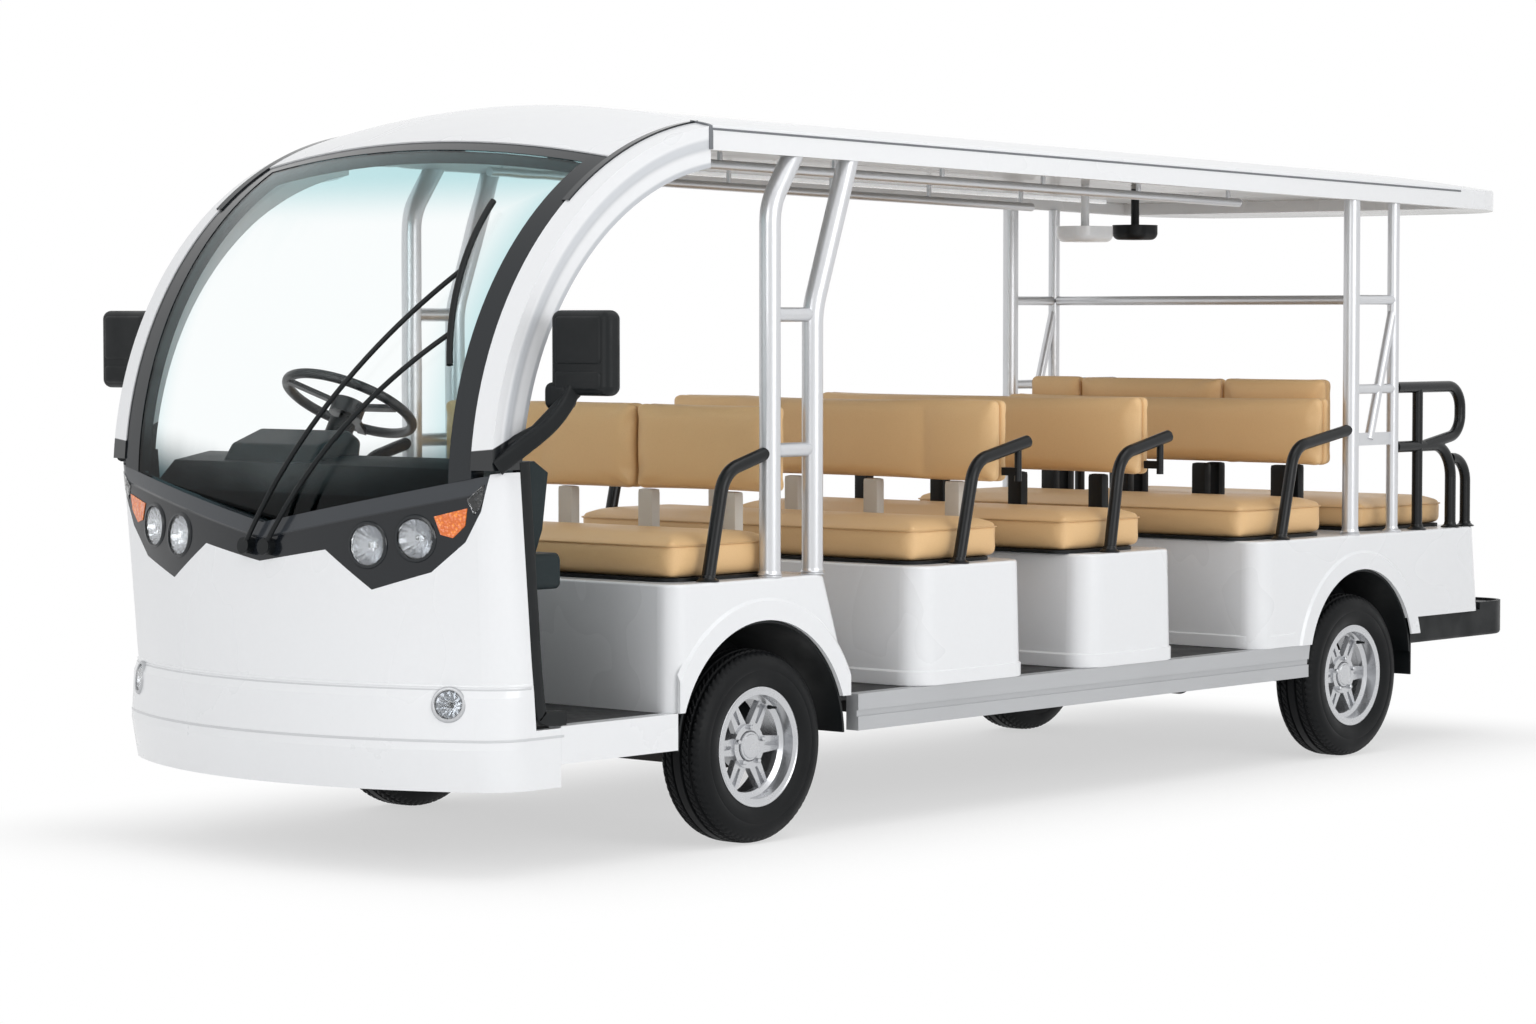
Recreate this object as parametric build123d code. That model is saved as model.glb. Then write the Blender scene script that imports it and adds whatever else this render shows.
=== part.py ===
# Open-sided electric shuttle cart with five bench rows, modelled at full size in millimetres.
# Frame: +X forward, +Y to the left, +Z up; the origin is on the ground below the middle of the length.
import math
import os

from build123d import *

# Overall sizes
LENGTH = 5350.0            # front bumper to the tip of the roof at the rear
BODY_WIDTH = 1490.0        # over the side panels, without the mirrors
WHEELBASE = 3000.0
FRONT_OVERHANG = 1250.0
TRACK = 1320.0             # between the middles of the tyres

# Heights above the ground
FRAME_Z = 300.0            # underside of the chassis rails between the axles
FRAME_DEPTH = 70.0
FLOOR_SHEET = 20.0
SILL_BOTTOM_Z = 285.0
BASE_TOP_Z = 738.0         # top of every seat base
BUMPER_BOTTOM_Z = 230.0

# Places worked out from the overall sizes
FRONT_X = LENGTH / 2
REAR_X = -LENGTH / 2
FRONT_AXLE_X = FRONT_X - FRONT_OVERHANG
REAR_AXLE_X = FRONT_AXLE_X - WHEELBASE
HALF = BODY_WIDTH / 2
FLOOR_Z = FRAME_Z + FRAME_DEPTH + FLOOR_SHEET
FLOOR_HALF = HALF - 45.0
FIT = 0.3                  # gap between pieces that are seated next to each other

# Wheels
TYRE_R = 270.0
TYRE_W = 155.0
RIM_R = 152.0              # bead seat
RIM_FLANGE = 15.0
RIM_W = 130.0
SPOKES = 6
SPINDLE_R = 18.0
RUNNING_GAP = 0.05
KINGPIN_R = 12.0
KINGPIN_Y = 540.0

# Wheel arches: radius, height of the centre, inner side
FRONT_ARCH_R = 345.0
REAR_ARCH_R = 305.0
REAR_ARCH_Z = 310.0
ARCH_SHIFT = 20.0          # the rear arch sits this far behind its axle
LINER = 8.0
FRONT_WELL_Y = 425.0
REAR_WELL_Y = 540.0

# Front end: the glass and the pillars follow one arc about a line across the vehicle
ARC_X = FRONT_AXLE_X + 80.0
ARC_Z = 1000.0
ARC_R = 1066.0             # at the middle of the glass
PLAN_R = 3535.0            # how the arc falls away towards the sides
GLASS = 6.0
GLASS_HALF = 612.0
TRIM_HALF = 682.0
PILLAR_DEPTH = 112.0
TRIM_DEPTH = 45.0
GLASS_LOW = -12.0          # angles on the arc, in degrees above level
GLASS_TOP = 60.0
HEADER_TOP = 62.5
CAP_SHEET = 40.0
ROOF_FRONT_X = ARC_X + 140.0

# Roof
ROOF_DROP = 90.0           # the roof falls by this much from front to rear
FASCIA_Z = 1913.0          # lower edge of the fascia at the front
FASCIA_H = 64.0            # lower edge to the crease along the side
ROOF_CROWN = 144.0         # lower edge of the fascia to the crown
ROOF_RECESS = 40.0
ROOF_TAPER = 1150.0        # length over which the rear of the roof thins down
ROOF_TIP = 14.0
ROOF_CORNER_R = 330.0
FASCIA_W = 30.0

# Lower edge of the glass: a shallow V
GLASS_V_MIDDLE = 915.0
GLASS_V_RISE = 0.19        # height gained for each millimetre towards the side
PILLAR_FOOT_Z = 1066.0

# Lower front: plan of the bumper and of the top edge
BUMPER_ARC_R = 1310.0
BUMPER_CORNER_R = 140.0
COWL_TOP_Z = 1100.0
COWL_TOP_ARC_R = 2770.0
COWL_TOP_CORNER_R = 70.0
COWL_WALL = 25.0
DOOR_EDGE_LOW_X = FRONT_AXLE_X + 902.0
DOOR_EDGE_HIGH_X = FRONT_AXLE_X + 960.0
STEP_SEAM_X = FRONT_AXLE_X + 809.0
STEP_Z = 385.0

# Tubes
FRONT_POST_R = 30.0
REAR_POST_R = 27.0
TAIL_POST_R = 20.0
HANDRAIL_R = 19.0
STUB_R = 11.0
RUNG_R = 20.0
POST_Y = 712.0

# Seats
SEAT_HALF = 678.0
BOARD = 10.0
CUSHION = 115.0
BACK_LOW_Z = 957.0
BACK_HIGH_Z = 1222.0
BACK_SHEET = 80.0
BACK_INSET = 20.0          # the backrest's end inside the cushion's end
BASE_WALL = 12.0
BASE_CORNER_R = 80.0

# One line for each bench: name, base front and rear, cushion front and rear, front face of the backrest
# (all from the front axle, rearwards negative), height of the backrest's top
ROWS = [
    ("row1", 373.0, -287.0, 305.0, -105.0, -125.0, BACK_HIGH_Z),
    ("row2", -680.0, -1210.0, -735.0, -1135.0, -1143.0, BACK_HIGH_Z),
    ("row3", -1490.0, -1980.0, -1470.0, -1860.0, -1869.0, BACK_HIGH_Z),
    ("row4", -2420.0, -3764.0, -2410.0, -2905.0, -2890.0, BACK_HIGH_Z - 20.0),
    ("row5", -2420.0, -3764.0, -3185.0, -3715.0, -2975.0, BACK_HIGH_Z + 40.0),
]


def block(x0, x1, y0, y1, z0, z1):
    size = Box(abs(x1 - x0), abs(y1 - y0), abs(z1 - z0))
    return Pos((x0 + x1) / 2, (y0 + y1) / 2, (z0 + z1) / 2) * size


def side_prism(points, y0, y1):
    """Points (x, z) of a side view, carried across from y0 to y1."""
    face = Face(Wire.make_polygon([(x, y0, z) for x, z in points], close=True))
    return extrude(face, amount=y1 - y0, dir=(0, 1, 0))


def front_prism(points, x0, x1):
    """Points (y, z) of a front view, carried along from x0 to x1."""
    face = Face(Wire.make_polygon([(x0, y, z) for y, z in points], close=True))
    return extrude(face, amount=x1 - x0, dir=(1, 0, 0))


def cross_cylinder(x, z, radius, y0, y1):
    """A cylinder that lies across the vehicle."""
    lying = Rotation(-90, 0, 0) * Cylinder(radius, y1 - y0, align=(Align.CENTER, Align.CENTER, Align.MIN))
    return Pos(x, y0, z) * lying


def upright(x, y, z0, z1, radius):
    return Pos(x, y, z0) * Cylinder(radius, z1 - z0, align=(Align.CENTER, Align.CENTER, Align.MIN))


def tube(points, radius, bend):
    """A round bar along straight runs that are joined by bends."""
    path = FilletPolyline(*points, radius=bend) if bend else Polyline(*points)
    return sweep(Plane(origin=path @ 0, z_dir=path % 0) * Circle(radius), path=path)


def straight(start, end, radius):
    line = Line(start, end)
    return sweep(Plane(origin=line @ 0, z_dir=line % 0) * Circle(radius), path=line)


def swing(face, low, high):
    """Carries a level section round the line of the front arc, from one angle to another."""
    axis = Axis((ARC_X, 0, ARC_Z), (0, -1, 0))
    return revolve(face.rotate(axis, low), axis=axis, revolution_arc=high - low)


def flip(shape):
    return mirror(shape, about=Plane.XZ)


def pair(shape):
    return [shape, flip(shape)]


def cut_all(shape, *tools):
    for tool in tools:
        shape = shape - tool
    return shape


def write(name, *shapes):
    solids = []
    for shape in shapes:
        solids += list(shape.solids())
    export_step(solids[0] if len(solids) == 1 else Compound(solids), f"parts/{name}.step")


def outline(*lines):
    edges = []
    for line in lines:
        edges += line.edges()
    return Face(Wire(edges))


def from_axle(x):
    return FRONT_AXLE_X + x


def arc_radius(y):
    return ARC_R - y * y / (2 * PLAN_R)


def v_line(y):
    return GLASS_V_MIDDLE + GLASS_V_RISE * abs(y)


def plan_band(y0, y1, outer_drop, depth):
    """A level section of the front between two widths, following the plan arc of the glass."""
    def at(y, inward):
        return (ARC_X + arc_radius(y) - inward, y, ARC_Z)
    middle = (y0 + y1) / 2
    far, near = outer_drop, outer_drop + depth
    edges = [
        ThreePointArc(at(y0, far), at(middle, far), at(y1, far)),
        Line(at(y1, far), at(y1, near)),
        ThreePointArc(at(y1, near), at(middle, near), at(y0, near)),
        Line(at(y0, near), at(y0, far)),
    ]
    return Face(Wire(edges))


# Roof and front arc

def roof_solid():
    """A crowned slab with a fascia, thinning to a tip at the rear, recessed below inside the fascia.

    It is made level, its front lower edge at the origin, and then tipped to its fall."""
    run = math.hypot(ROOF_FRONT_X - REAR_X, ROOF_DROP)
    section = outline(
        ThreePointArc((0, HALF, FASCIA_H), (0, 0, ROOF_CROWN), (0, -HALF, FASCIA_H)),
        Polyline((0, -HALF, FASCIA_H), (0, -HALF, 0), (0, HALF, 0), (0, HALF, FASCIA_H)),
    )
    slab = extrude(section, amount=run + 100, dir=(-1, 0, 0))
    wide = HALF + 40
    taper = -run + ROOF_TAPER
    tip = -run - 60
    over = ROOF_CROWN + 15
    side = outline(
        ThreePointArc((tip, -wide, ROOF_TIP), (tip + 330, -wide, ROOF_CROWN * 0.52), (taper, -wide, over)),
        Polyline((taper, -wide, over), (50, -wide, over), (50, -wide, -50), (tip, -wide, -50),
                 (tip, -wide, ROOF_TIP)),
    )
    slab = slab & extrude(side, amount=2 * wide, dir=(0, 1, 0))
    bow = 25.0
    knee = HALF - ROOF_CORNER_R
    start = -run + bow + ROOF_CORNER_R
    turn = ROOF_CORNER_R * (1 - math.sqrt(0.5))
    corner = (-run + bow + turn, HALF - turn)
    end = -run + bow
    shoulder = start + 15
    rear = ThreePointArc((end, knee, -50), (-run, 0, -50), (end, -knee, -50))
    right = ThreePointArc((end, -knee, -50), (corner[0], -corner[1], -50), (shoulder, -HALF - 2, -50))
    sides = Polyline((shoulder, -HALF - 2, -50), (shoulder, -wide, -50), (50, -wide, -50), (50, wide, -50),
                     (shoulder, wide, -50), (shoulder, HALF + 2, -50))
    left = ThreePointArc((shoulder, HALF + 2, -50), (corner[0], corner[1], -50), (end, knee, -50))
    slab = slab & extrude(outline(rear, right, sides, left), amount=400, dir=(0, 0, 1))
    inner = HALF - FASCIA_W
    slab = slab - block(start + 60, 50, -inner, inner, -50, ROOF_RECESS)
    fall = math.degrees(math.asin(ROOF_DROP / run))
    return Pos(ROOF_FRONT_X, 0, FASCIA_Z) * (Rotation(0, -fall, 0) * slab)


def fascia_z(x):
    """Lower edge of the roof's fascia at a place along the roof."""
    return FASCIA_Z - ROOF_DROP * (ROOF_FRONT_X - x) / (ROOF_FRONT_X - REAR_X)


def above_fascia():
    """Everything above the plane of the fascia's lower edge."""
    return side_prism([(ROOF_FRONT_X, fascia_z(ROOF_FRONT_X)), (REAR_X, fascia_z(REAR_X)), (REAR_X, 2300),
                       (ROOF_FRONT_X, 2300)], -HALF, HALF)


def front_arc():
    ahead = block(ROOF_FRONT_X, FRONT_X + 500, -HALF, HALF, 0, 3000)
    cap = swing(plan_band(-TRIM_HALF, TRIM_HALF, 0, CAP_SHEET), HEADER_TOP, 95) & ahead
    pillar = swing(plan_band(TRIM_HALF, HALF, 0, PILLAR_DEPTH), 2.0, 95) & ahead
    trim = swing(plan_band(GLASS_HALF, TRIM_HALF, 4.0, TRIM_DEPTH), GLASS_LOW, HEADER_TOP)
    header = swing(plan_band(-GLASS_HALF, GLASS_HALF, 4.0, TRIM_DEPTH), GLASS_TOP, HEADER_TOP)
    glass = swing(plan_band(-GLASS_HALF, GLASS_HALF, 6.0, GLASS), GLASS_LOW, GLASS_TOP)
    far = HALF + 50
    below_glass = front_prism([(-far, 0), (far, 0), (far, v_line(far)), (0, v_line(0)), (-far, v_line(far))],
                              ARC_X, FRONT_X + 100)
    pillar = pillar - block(ARC_X, FRONT_X, 0, far, 0, PILLAR_FOOT_Z)
    surround = (trim + flip(trim) + header) - below_glass
    return cap, pillar, surround, glass - below_glass


# Lower front

def cowl_plan(z, front_x, arc_r, corner_r, back_x, inset):
    """Closed plan of the front at one height: an arc across, two corner arcs, straight sides, open back."""
    half = HALF - inset
    arc = arc_r - inset
    corner = max(corner_r - inset, 10.0)
    centre_x = front_x - arc_r
    corner_y = half - corner
    turn = math.asin(corner_y / (arc - corner))
    corner_x = centre_x + (arc - corner) * math.cos(turn)
    joint = (centre_x + arc * math.cos(turn), arc * math.sin(turn))
    bisect = (math.pi / 2 + turn) / 2
    middle = (corner_x + corner * math.cos(bisect), corner_y + corner * math.sin(bisect))
    side = (corner_x, half)
    back = (back_x, half)

    def left(p):
        return (p[0], p[1], z)

    def right(p):
        return (p[0], -p[1], z)
    return Wire([
        ThreePointArc(left(joint), (front_x - inset, 0, z), right(joint)),
        ThreePointArc(right(joint), right(middle), right(side)),
        Line(right(side), right(back)),
        Line(right(back), left(back)),
        Line(left(back), left(side)),
        ThreePointArc(left(side), left(middle), left(joint)),
    ])


# Heights of the lower front: height, how far the front stands behind FRONT_X, plan arc, corner
COWL_SECTIONS = [
    (BUMPER_BOTTOM_Z, 22.0, BUMPER_ARC_R, BUMPER_CORNER_R),
    (BUMPER_BOTTOM_Z + 110.0, 0.0, BUMPER_ARC_R, BUMPER_CORNER_R),
    (BUMPER_BOTTOM_Z + 245.0, 10.0, BUMPER_ARC_R, BUMPER_CORNER_R),
    (BUMPER_BOTTOM_Z + 275.0, 26.0, BUMPER_ARC_R, BUMPER_CORNER_R),
    (COWL_TOP_Z, 92.0, COWL_TOP_ARC_R, COWL_TOP_CORNER_R),
]

# Left half of the black lamp panel in front view (y, z), from the middle outwards
MASK_LOWER = [(0, 812), (235, 850), (390, 750), (560, 800), (655, 880), (700, 960), (724, v_line(724) + 3)]


def cowl_block(inset, back_x):
    plans = []
    for z, drop, arc, corner in COWL_SECTIONS:
        plans.append(Face(cowl_plan(z, FRONT_X - drop, arc, corner, back_x, inset)))
    return loft(plans, ruled=True)


def cowl_band(outer, inner):
    """The layer between two depths under the surface of the lower front; negative depths stand proud."""
    return cowl_block(outer, STEP_SEAM_X) - cowl_block(inner, STEP_SEAM_X - 50)


def cowl_shell():
    back = STEP_SEAM_X - 1
    top = COWL_TOP_Z + 1
    doorway = [(back, STEP_Z), (DOOR_EDGE_LOW_X, STEP_Z), (DOOR_EDGE_HIGH_X, top), (back, top)]
    behind_door = side_prism(doorway, -HALF - 1, HALF + 1)
    return cowl_band(0.0, COWL_WALL) - behind_door


# Round lamps of the left side: place across, height, radius; the first two sit in the lamp panel
HEADLAMPS = [(375.0, 867.0, 54.0), (515.0, 883.0, 54.0)]
FOG_LAMPS = [(610.0, 457.0, 38.0)]
# Left indicator and the clear corner lamp above it in front view (y, z)
INDICATOR = [(570, 945), (588, 898), (622, 890), (656, 922), (664, 968)]
CORNER_LAMP = [(664, 990), (682, 952), (704, 978), (712, 1030)]
LENS = 6.0
BOWL_DEPTH = 40.0


def lamp_core(lamp, shrink=0.0):
    y, z, r = lamp
    core = Cylinder(r - shrink, 1400, align=(Align.CENTER, Align.CENTER, Align.MIN))
    return Pos(ARC_X, y, z) * (Rotation(0, 90, 0) * core)


def shrunk(points, by):
    """A front-view outline moved towards its middle by about the given distance."""
    cy = sum(y for y, z in points) / len(points)
    cz = sum(z for y, z in points) / len(points)
    moved = []
    for y, z in points:
        away = math.hypot(y - cy, z - cz)
        moved.append((y - by * (y - cy) / away, z - by * (z - cz) / away))
    return moved


def front_lamps():
    """Left side: lenses flush with the panel, and the bowls behind the round ones."""
    skin = cowl_band(-2.0, LENS - 2.0)
    deep = cowl_band(COWL_WALL + FIT, COWL_WALL + BOWL_DEPTH)
    cavity = cowl_band(COWL_WALL - 1, COWL_WALL + BOWL_DEPTH - 8.0)
    heads = [skin & lamp_core(lamp, FIT) for lamp in HEADLAMPS]
    heads.append(skin & front_prism(shrunk(CORNER_LAMP, FIT), ARC_X, FRONT_X + 50))
    fogs = [skin & lamp_core(lamp, FIT) for lamp in FOG_LAMPS]
    amber = skin & front_prism(shrunk(INDICATOR, FIT), ARC_X, FRONT_X + 50)
    bowls = []
    for lamp in HEADLAMPS + FOG_LAMPS:
        y, z, r = lamp
        bowls.append((deep & lamp_core((y, z, r + 5))) - (cavity & lamp_core((y, z, r - 1))))
    return heads, fogs, amber, bowls


def lower_front():
    shell = cowl_shell()
    high = COWL_TOP_Z + 50
    far = HALF + 10
    edge = MASK_LOWER + [(far, v_line(far) + 3), (far, high)]
    edge = edge + [(-y, z) for y, z in reversed(edge[1:])]
    upper = front_prism(edge, ARC_X, FRONT_X + 50)
    above = front_prism([(far, v_line(far) - FIT), (far, high), (-far, high), (-far, v_line(far) - FIT),
                         (0, v_line(0) - FIT)], ARC_X, FRONT_X + 50)
    cowl = shell - upper
    for lamp in FOG_LAMPS:
        cowl = cut_all(cowl, lamp_core(lamp), flip(lamp_core(lamp)))
    mask = (shell & upper) - above
    for hole in [lamp_core(lamp) for lamp in HEADLAMPS] + [front_prism(INDICATOR, ARC_X, FRONT_X + 50),
                                                          front_prism(CORNER_LAMP, ARC_X, FRONT_X + 50)]:
        mask = cut_all(mask, hole, flip(hole))
    return cowl, mask


# Seat bases and the rear body

def arch_tool(x, z, radius, y_in):
    return cross_cylinder(x, z, radius, y_in, HALF + 20)


def hollow_base(front_x, rear_x, corner, front_slope=0.0, rear_slope=0.0, bottom=FLOOR_Z):
    """A shell that is open below; the ends can lean."""
    def solid(inset, top):
        pts = [(front_x - inset, bottom), (front_x - inset - front_slope, top),
               (rear_x + inset + rear_slope, top), (rear_x + inset, bottom)]
        body = side_prism(pts, -HALF + inset, HALF - inset)
        uprights = [e for e in body.edges() if abs(e.tangent_at(0.5).Z) > 0.9]
        return fillet(uprights, corner - inset)
    outer = solid(0.0, BASE_TOP_Z)
    edge = outer.edges().filter_by(lambda e: abs(e.center().Z - BASE_TOP_Z) < 0.1)
    return fillet(edge, 8.0) - solid(BASE_WALL, BASE_TOP_Z - BASE_WALL)


FLARE_W = 62.0
FLARE = 7.0


def arch_flare(x, z, radius, base):
    """Left side: the raised band round a wheel arch, thinning outwards."""
    outer = radius + FLARE_W
    disc = Cone(outer + 12, outer, FLARE + 3, align=(Align.CENTER, Align.CENTER, Align.MIN))
    lip = Pos(x, HALF - 3, z) * (Rotation(-90, 0, 0) * disc)
    ends = base.bounding_box()
    return lip & block(ends.min.X + 40, ends.max.X - 20, HALF - 10, HALF + 20, FLOOR_Z, BASE_TOP_Z - 10)


def seat_bases():
    bases = {}
    for name, front, rear, *rest in ROWS[1:3]:
        bases[name] = hollow_base(from_axle(front), from_axle(rear), BASE_CORNER_R, 10.0, 14.0)
    row1 = hollow_base(from_axle(ROWS[0][1]), from_axle(ROWS[0][2]) - 120.0, 60.0, 0.0, 120.0)
    tool = arch_tool(FRONT_AXLE_X, TYRE_R, FRONT_ARCH_R + LINER + FIT, FRONT_WELL_Y - LINER - FIT)
    lip = arch_flare(FRONT_AXLE_X, TYRE_R, FRONT_ARCH_R, row1)
    bases["row1"] = cut_all(row1 + lip + flip(lip), tool, flip(tool))
    rear = hollow_base(from_axle(ROWS[3][1]), from_axle(ROWS[4][2]) - 40.0, 70.0, 0.0, 40.0, bottom=FLOOR_Z)
    arch_x = REAR_AXLE_X - ARCH_SHIFT
    tool = arch_tool(arch_x, REAR_ARCH_Z, REAR_ARCH_R + LINER + FIT, REAR_WELL_Y - LINER - FIT)
    tail_cut = block(REAR_X, arch_x, -HALF - 1, HALF + 1, 0, REAR_BODY_Z)
    lip = arch_flare(arch_x, REAR_ARCH_Z, REAR_ARCH_R, rear)
    bases["rear_body"] = cut_all(rear + lip + flip(lip), tool, flip(tool), tail_cut)
    return bases


REAR_BODY_Z = 445.0        # lower edge of the body behind the rear wheels


def rear_block():
    """The space that the rear body takes up, without its hollow, with a fitting gap behind it."""
    x0, x1 = from_axle(ROWS[3][1]), from_axle(ROWS[4][2]) - 40.0
    tail = [(x1 - FIT, FLOOR_Z), (x1 + 40.0 - FIT, BASE_TOP_Z)]
    return side_prism([(x0, FLOOR_Z)] + tail + [(x0, BASE_TOP_Z)], -HALF, HALF)


def arch_liner(x, z, radius, y_in, z_low):
    """Curved sheet over a wheel with a closed inner side."""
    y_out = HALF - 6.0
    shell = cross_cylinder(x, z, radius + LINER, y_in - LINER, y_out)
    shell = shell - cross_cylinder(x, z, radius, y_in, y_out + 1)
    return shell - block(x - 600, x + 600, 0, HALF + 50, -400, z_low)


# Chassis

RAIL_Y = 330.0
RAIL_W = 60.0
KICK_Z = 120.0             # the rails rise by this much over the rear axle
RAIL_FRONT_X = FRONT_X - 350.0
RAIL_REAR_X = from_axle(ROWS[4][2]) + 20.0


def chassis():
    top = FRAME_Z + FRAME_DEPTH
    kick = from_axle(ROWS[3][1]) - 60.0
    pts = [(RAIL_FRONT_X, FRAME_Z), (RAIL_FRONT_X, top), (kick, top), (kick - 120, top + KICK_Z),
           (RAIL_REAR_X, top + KICK_Z), (RAIL_REAR_X, FRAME_Z + KICK_Z), (kick - 120 - 30, FRAME_Z + KICK_Z),
           (kick - 30, FRAME_Z)]
    rail = side_prism(pts, RAIL_Y - RAIL_W / 2, RAIL_Y + RAIL_W / 2)
    inner = RAIL_Y - RAIL_W / 2 - FIT
    outer = RAIL_Y + RAIL_W / 2 + FIT
    members = []
    for x in CROSS_X:
        members.append(block(x - 30, x + 30, -inner, inner, FRAME_Z + 10, top - FIT))
    for x in KICK_CROSS_X:
        members.append(block(x - 30, x + 30, -inner, inner, FRAME_Z + KICK_Z + 10, top + KICK_Z))
    for x in OUTRIGGER_X:
        members += pair(block(x - 25, x + 25, outer, FLOOR_HALF, FRAME_Z + 30, top - FIT))
    seat = RAIL_REAR_X - FIT
    under = TOW_Z - TOW_PLATE / 2
    stem = block(seat - 14, seat, -40, 40, under, FRAME_Z + KICK_Z + 60)
    plate = block(TOW_X - 35, seat, -40, 40, under, under + TOW_PLATE)
    plate = plate - upright(TOW_X, 0, TOW_Z - 50, TOW_Z + 50, TOW_BORE_R)
    return rail, members, stem + plate


CROSS_X = [RAIL_FRONT_X - 30, from_axle(500.0), from_axle(-380.0), from_axle(-1350.0), from_axle(-2200.0)]
KICK_CROSS_X = [from_axle(-2760.0), from_axle(-3350.0), RAIL_REAR_X + 30]
OUTRIGGER_X = [from_axle(x) for x in (620.0, -480.0, -1080.0, -1650.0, -2300.0)]
TOW_X = RAIL_REAR_X - 55.0
TOW_Z = FRAME_Z + KICK_Z - 80.0
TOW_PLATE = 16.0
TOW_BORE_R = 11.0


def floor_sheet():
    front = DOOR_EDGE_LOW_X - 40.0
    sheet = block(from_axle(ROWS[3][1]) - 30, front, -FLOOR_HALF, FLOOR_HALF, FLOOR_Z - FLOOR_SHEET, FLOOR_Z)
    r = FRONT_ARCH_R + LINER + FIT
    y = FRONT_WELL_Y - LINER - FIT
    well = block(FRONT_AXLE_X - r, FRONT_AXLE_X + r, y, HALF, 0, FLOOR_Z + 1)
    return cut_all(sheet, well, flip(well))


def sills():
    inner = FLOOR_HALF + FIT
    top = FLOOR_Z - FIT
    sill = block(from_axle(ROWS[0][2]) - 120, from_axle(-2735.0), inner, HALF, SILL_BOTTOM_Z, top)
    groove = block(-3000, 3000, HALF - 6, HALF + 1, SILL_BOTTOM_Z + 40, SILL_BOTTOM_Z + 58)
    arch_r = REAR_ARCH_R + LINER + FIT
    sill = sill - groove - cross_cylinder(REAR_AXLE_X - ARCH_SHIFT, REAR_ARCH_Z, arch_r, 0, HALF + 10)
    step_rear = FRONT_AXLE_X + FRONT_ARCH_R + LINER + 1
    step = block(step_rear, STEP_SEAM_X - FIT, inner, HALF, SILL_BOTTOM_Z + 5, top)
    return sill, step


# Axles, springs, wheels

SPRING_Y = RAIL_Y
AXLE_BEAM = 46.0
BEAM_DROP = 42.0
AXLE_TUBE_R = 38.0
SPRING = 24.0
EYE_R = 30.0
EYE_HALF = 40.0
FORK = 22.0
HUB_FACE = 30.0            # middle of the wheel to the outer side of its hub


def front_axle():
    z = TYRE_R
    end = KINGPIN_Y - EYE_R - 15
    beam = block(FRONT_AXLE_X - AXLE_BEAM / 2, FRONT_AXLE_X + AXLE_BEAM / 2, -end, end,
                 z - BEAM_DROP - AXLE_BEAM / 2, z - BEAM_DROP + AXLE_BEAM / 2)
    for side in (1, -1):
        beam = beam + block(FRONT_AXLE_X - 20, FRONT_AXLE_X + 20, side * (end - 40), side * KINGPIN_Y,
                            z - EYE_HALF + 4, z + EYE_HALF - 10)
        beam = beam + upright(FRONT_AXLE_X, side * KINGPIN_Y, z - EYE_HALF, z + EYE_HALF, EYE_R)
        beam = beam - upright(FRONT_AXLE_X, side * KINGPIN_Y, z - 100, z + 100, KINGPIN_R + RUNNING_GAP)
    return beam


def knuckle():
    """Left side: a fork over the axle's eye, the pin through it and the spindle for the wheel."""
    z = TYRE_R
    y = KINGPIN_Y
    gap = 6.0
    ear_low = upright(FRONT_AXLE_X, y, z - EYE_HALF - gap - FORK, z - EYE_HALF - gap, EYE_R)
    ear_high = upright(FRONT_AXLE_X, y, z + EYE_HALF + gap, z + EYE_HALF + gap + FORK, EYE_R)
    pin = upright(FRONT_AXLE_X, y, z - EYE_HALF - gap - FORK, z + EYE_HALF + gap + FORK, KINGPIN_R)
    top = z + EYE_HALF + gap + FORK
    low = z - EYE_HALF - gap - FORK
    back = block(FRONT_AXLE_X - 26, FRONT_AXLE_X + 26, y + EYE_R + gap, y + EYE_R + gap + 18, low, top)
    arms = block(FRONT_AXLE_X - 26, FRONT_AXLE_X + 26, y, y + EYE_R + gap + 1, z + EYE_HALF + gap, top)
    arms = arms + block(FRONT_AXLE_X - 26, FRONT_AXLE_X + 26, y, y + EYE_R + gap + 1, low, z - EYE_HALF - gap)
    spindle = cross_cylinder(FRONT_AXLE_X, z, SPINDLE_R, y + EYE_R + gap, TRACK / 2 + HUB_FACE + 4)
    return ear_low + ear_high + pin + back + arms + spindle


def rear_axle():
    z = TYRE_R
    tube_end = TRACK / 2 - 60
    axle = cross_cylinder(REAR_AXLE_X, z, AXLE_TUBE_R, -tube_end, tube_end)
    shaft_end = TRACK / 2 + HUB_FACE + 4
    axle = axle + cross_cylinder(REAR_AXLE_X, z, SPINDLE_R, -shaft_end, shaft_end)
    gears = cross_cylinder(REAR_AXLE_X, z, 105.0, -110, 30)
    case = block(REAR_AXLE_X, REAR_AXLE_X + 215, -60, 30, z - 40, z + 75)
    motor = cross_cylinder(REAR_AXLE_X + 215, z + 20, 85.0, -60, 240)
    return axle + gears + case + motor


def leaf_spring(x, seat_z, rail_z, reach):
    """Left side: a bowed leaf pack, seated on the axle, with a block up to the rail at each end."""
    eye_z = rail_z - SPRING - 4
    y0 = SPRING_Y - 25
    low = [(x - reach, y0, eye_z), (x, y0, seat_z), (x + reach, y0, eye_z)]
    high = [(px, py, pz + SPRING) for px, py, pz in reversed(low)]
    side = outline(ThreePointArc(*low), Line(low[2], high[0]), ThreePointArc(*high), Line(high[2], low[0]))
    pack = extrude(side, amount=50, dir=(0, 1, 0))
    for end in (x - reach, x + reach):
        pack = pack + block(end - 25, end + 25, y0, y0 + 50, eye_z + 2, rail_z - FIT)
    return pack


def turned(points):
    """Points (radius, across) of a wheel's section, turned about its axle."""
    section = Face(Wire.make_polygon([(radius, across, 0) for radius, across in points], close=True))
    return revolve(section, axis=Axis((0, 0, 0), (0, 1, 0)))


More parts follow.
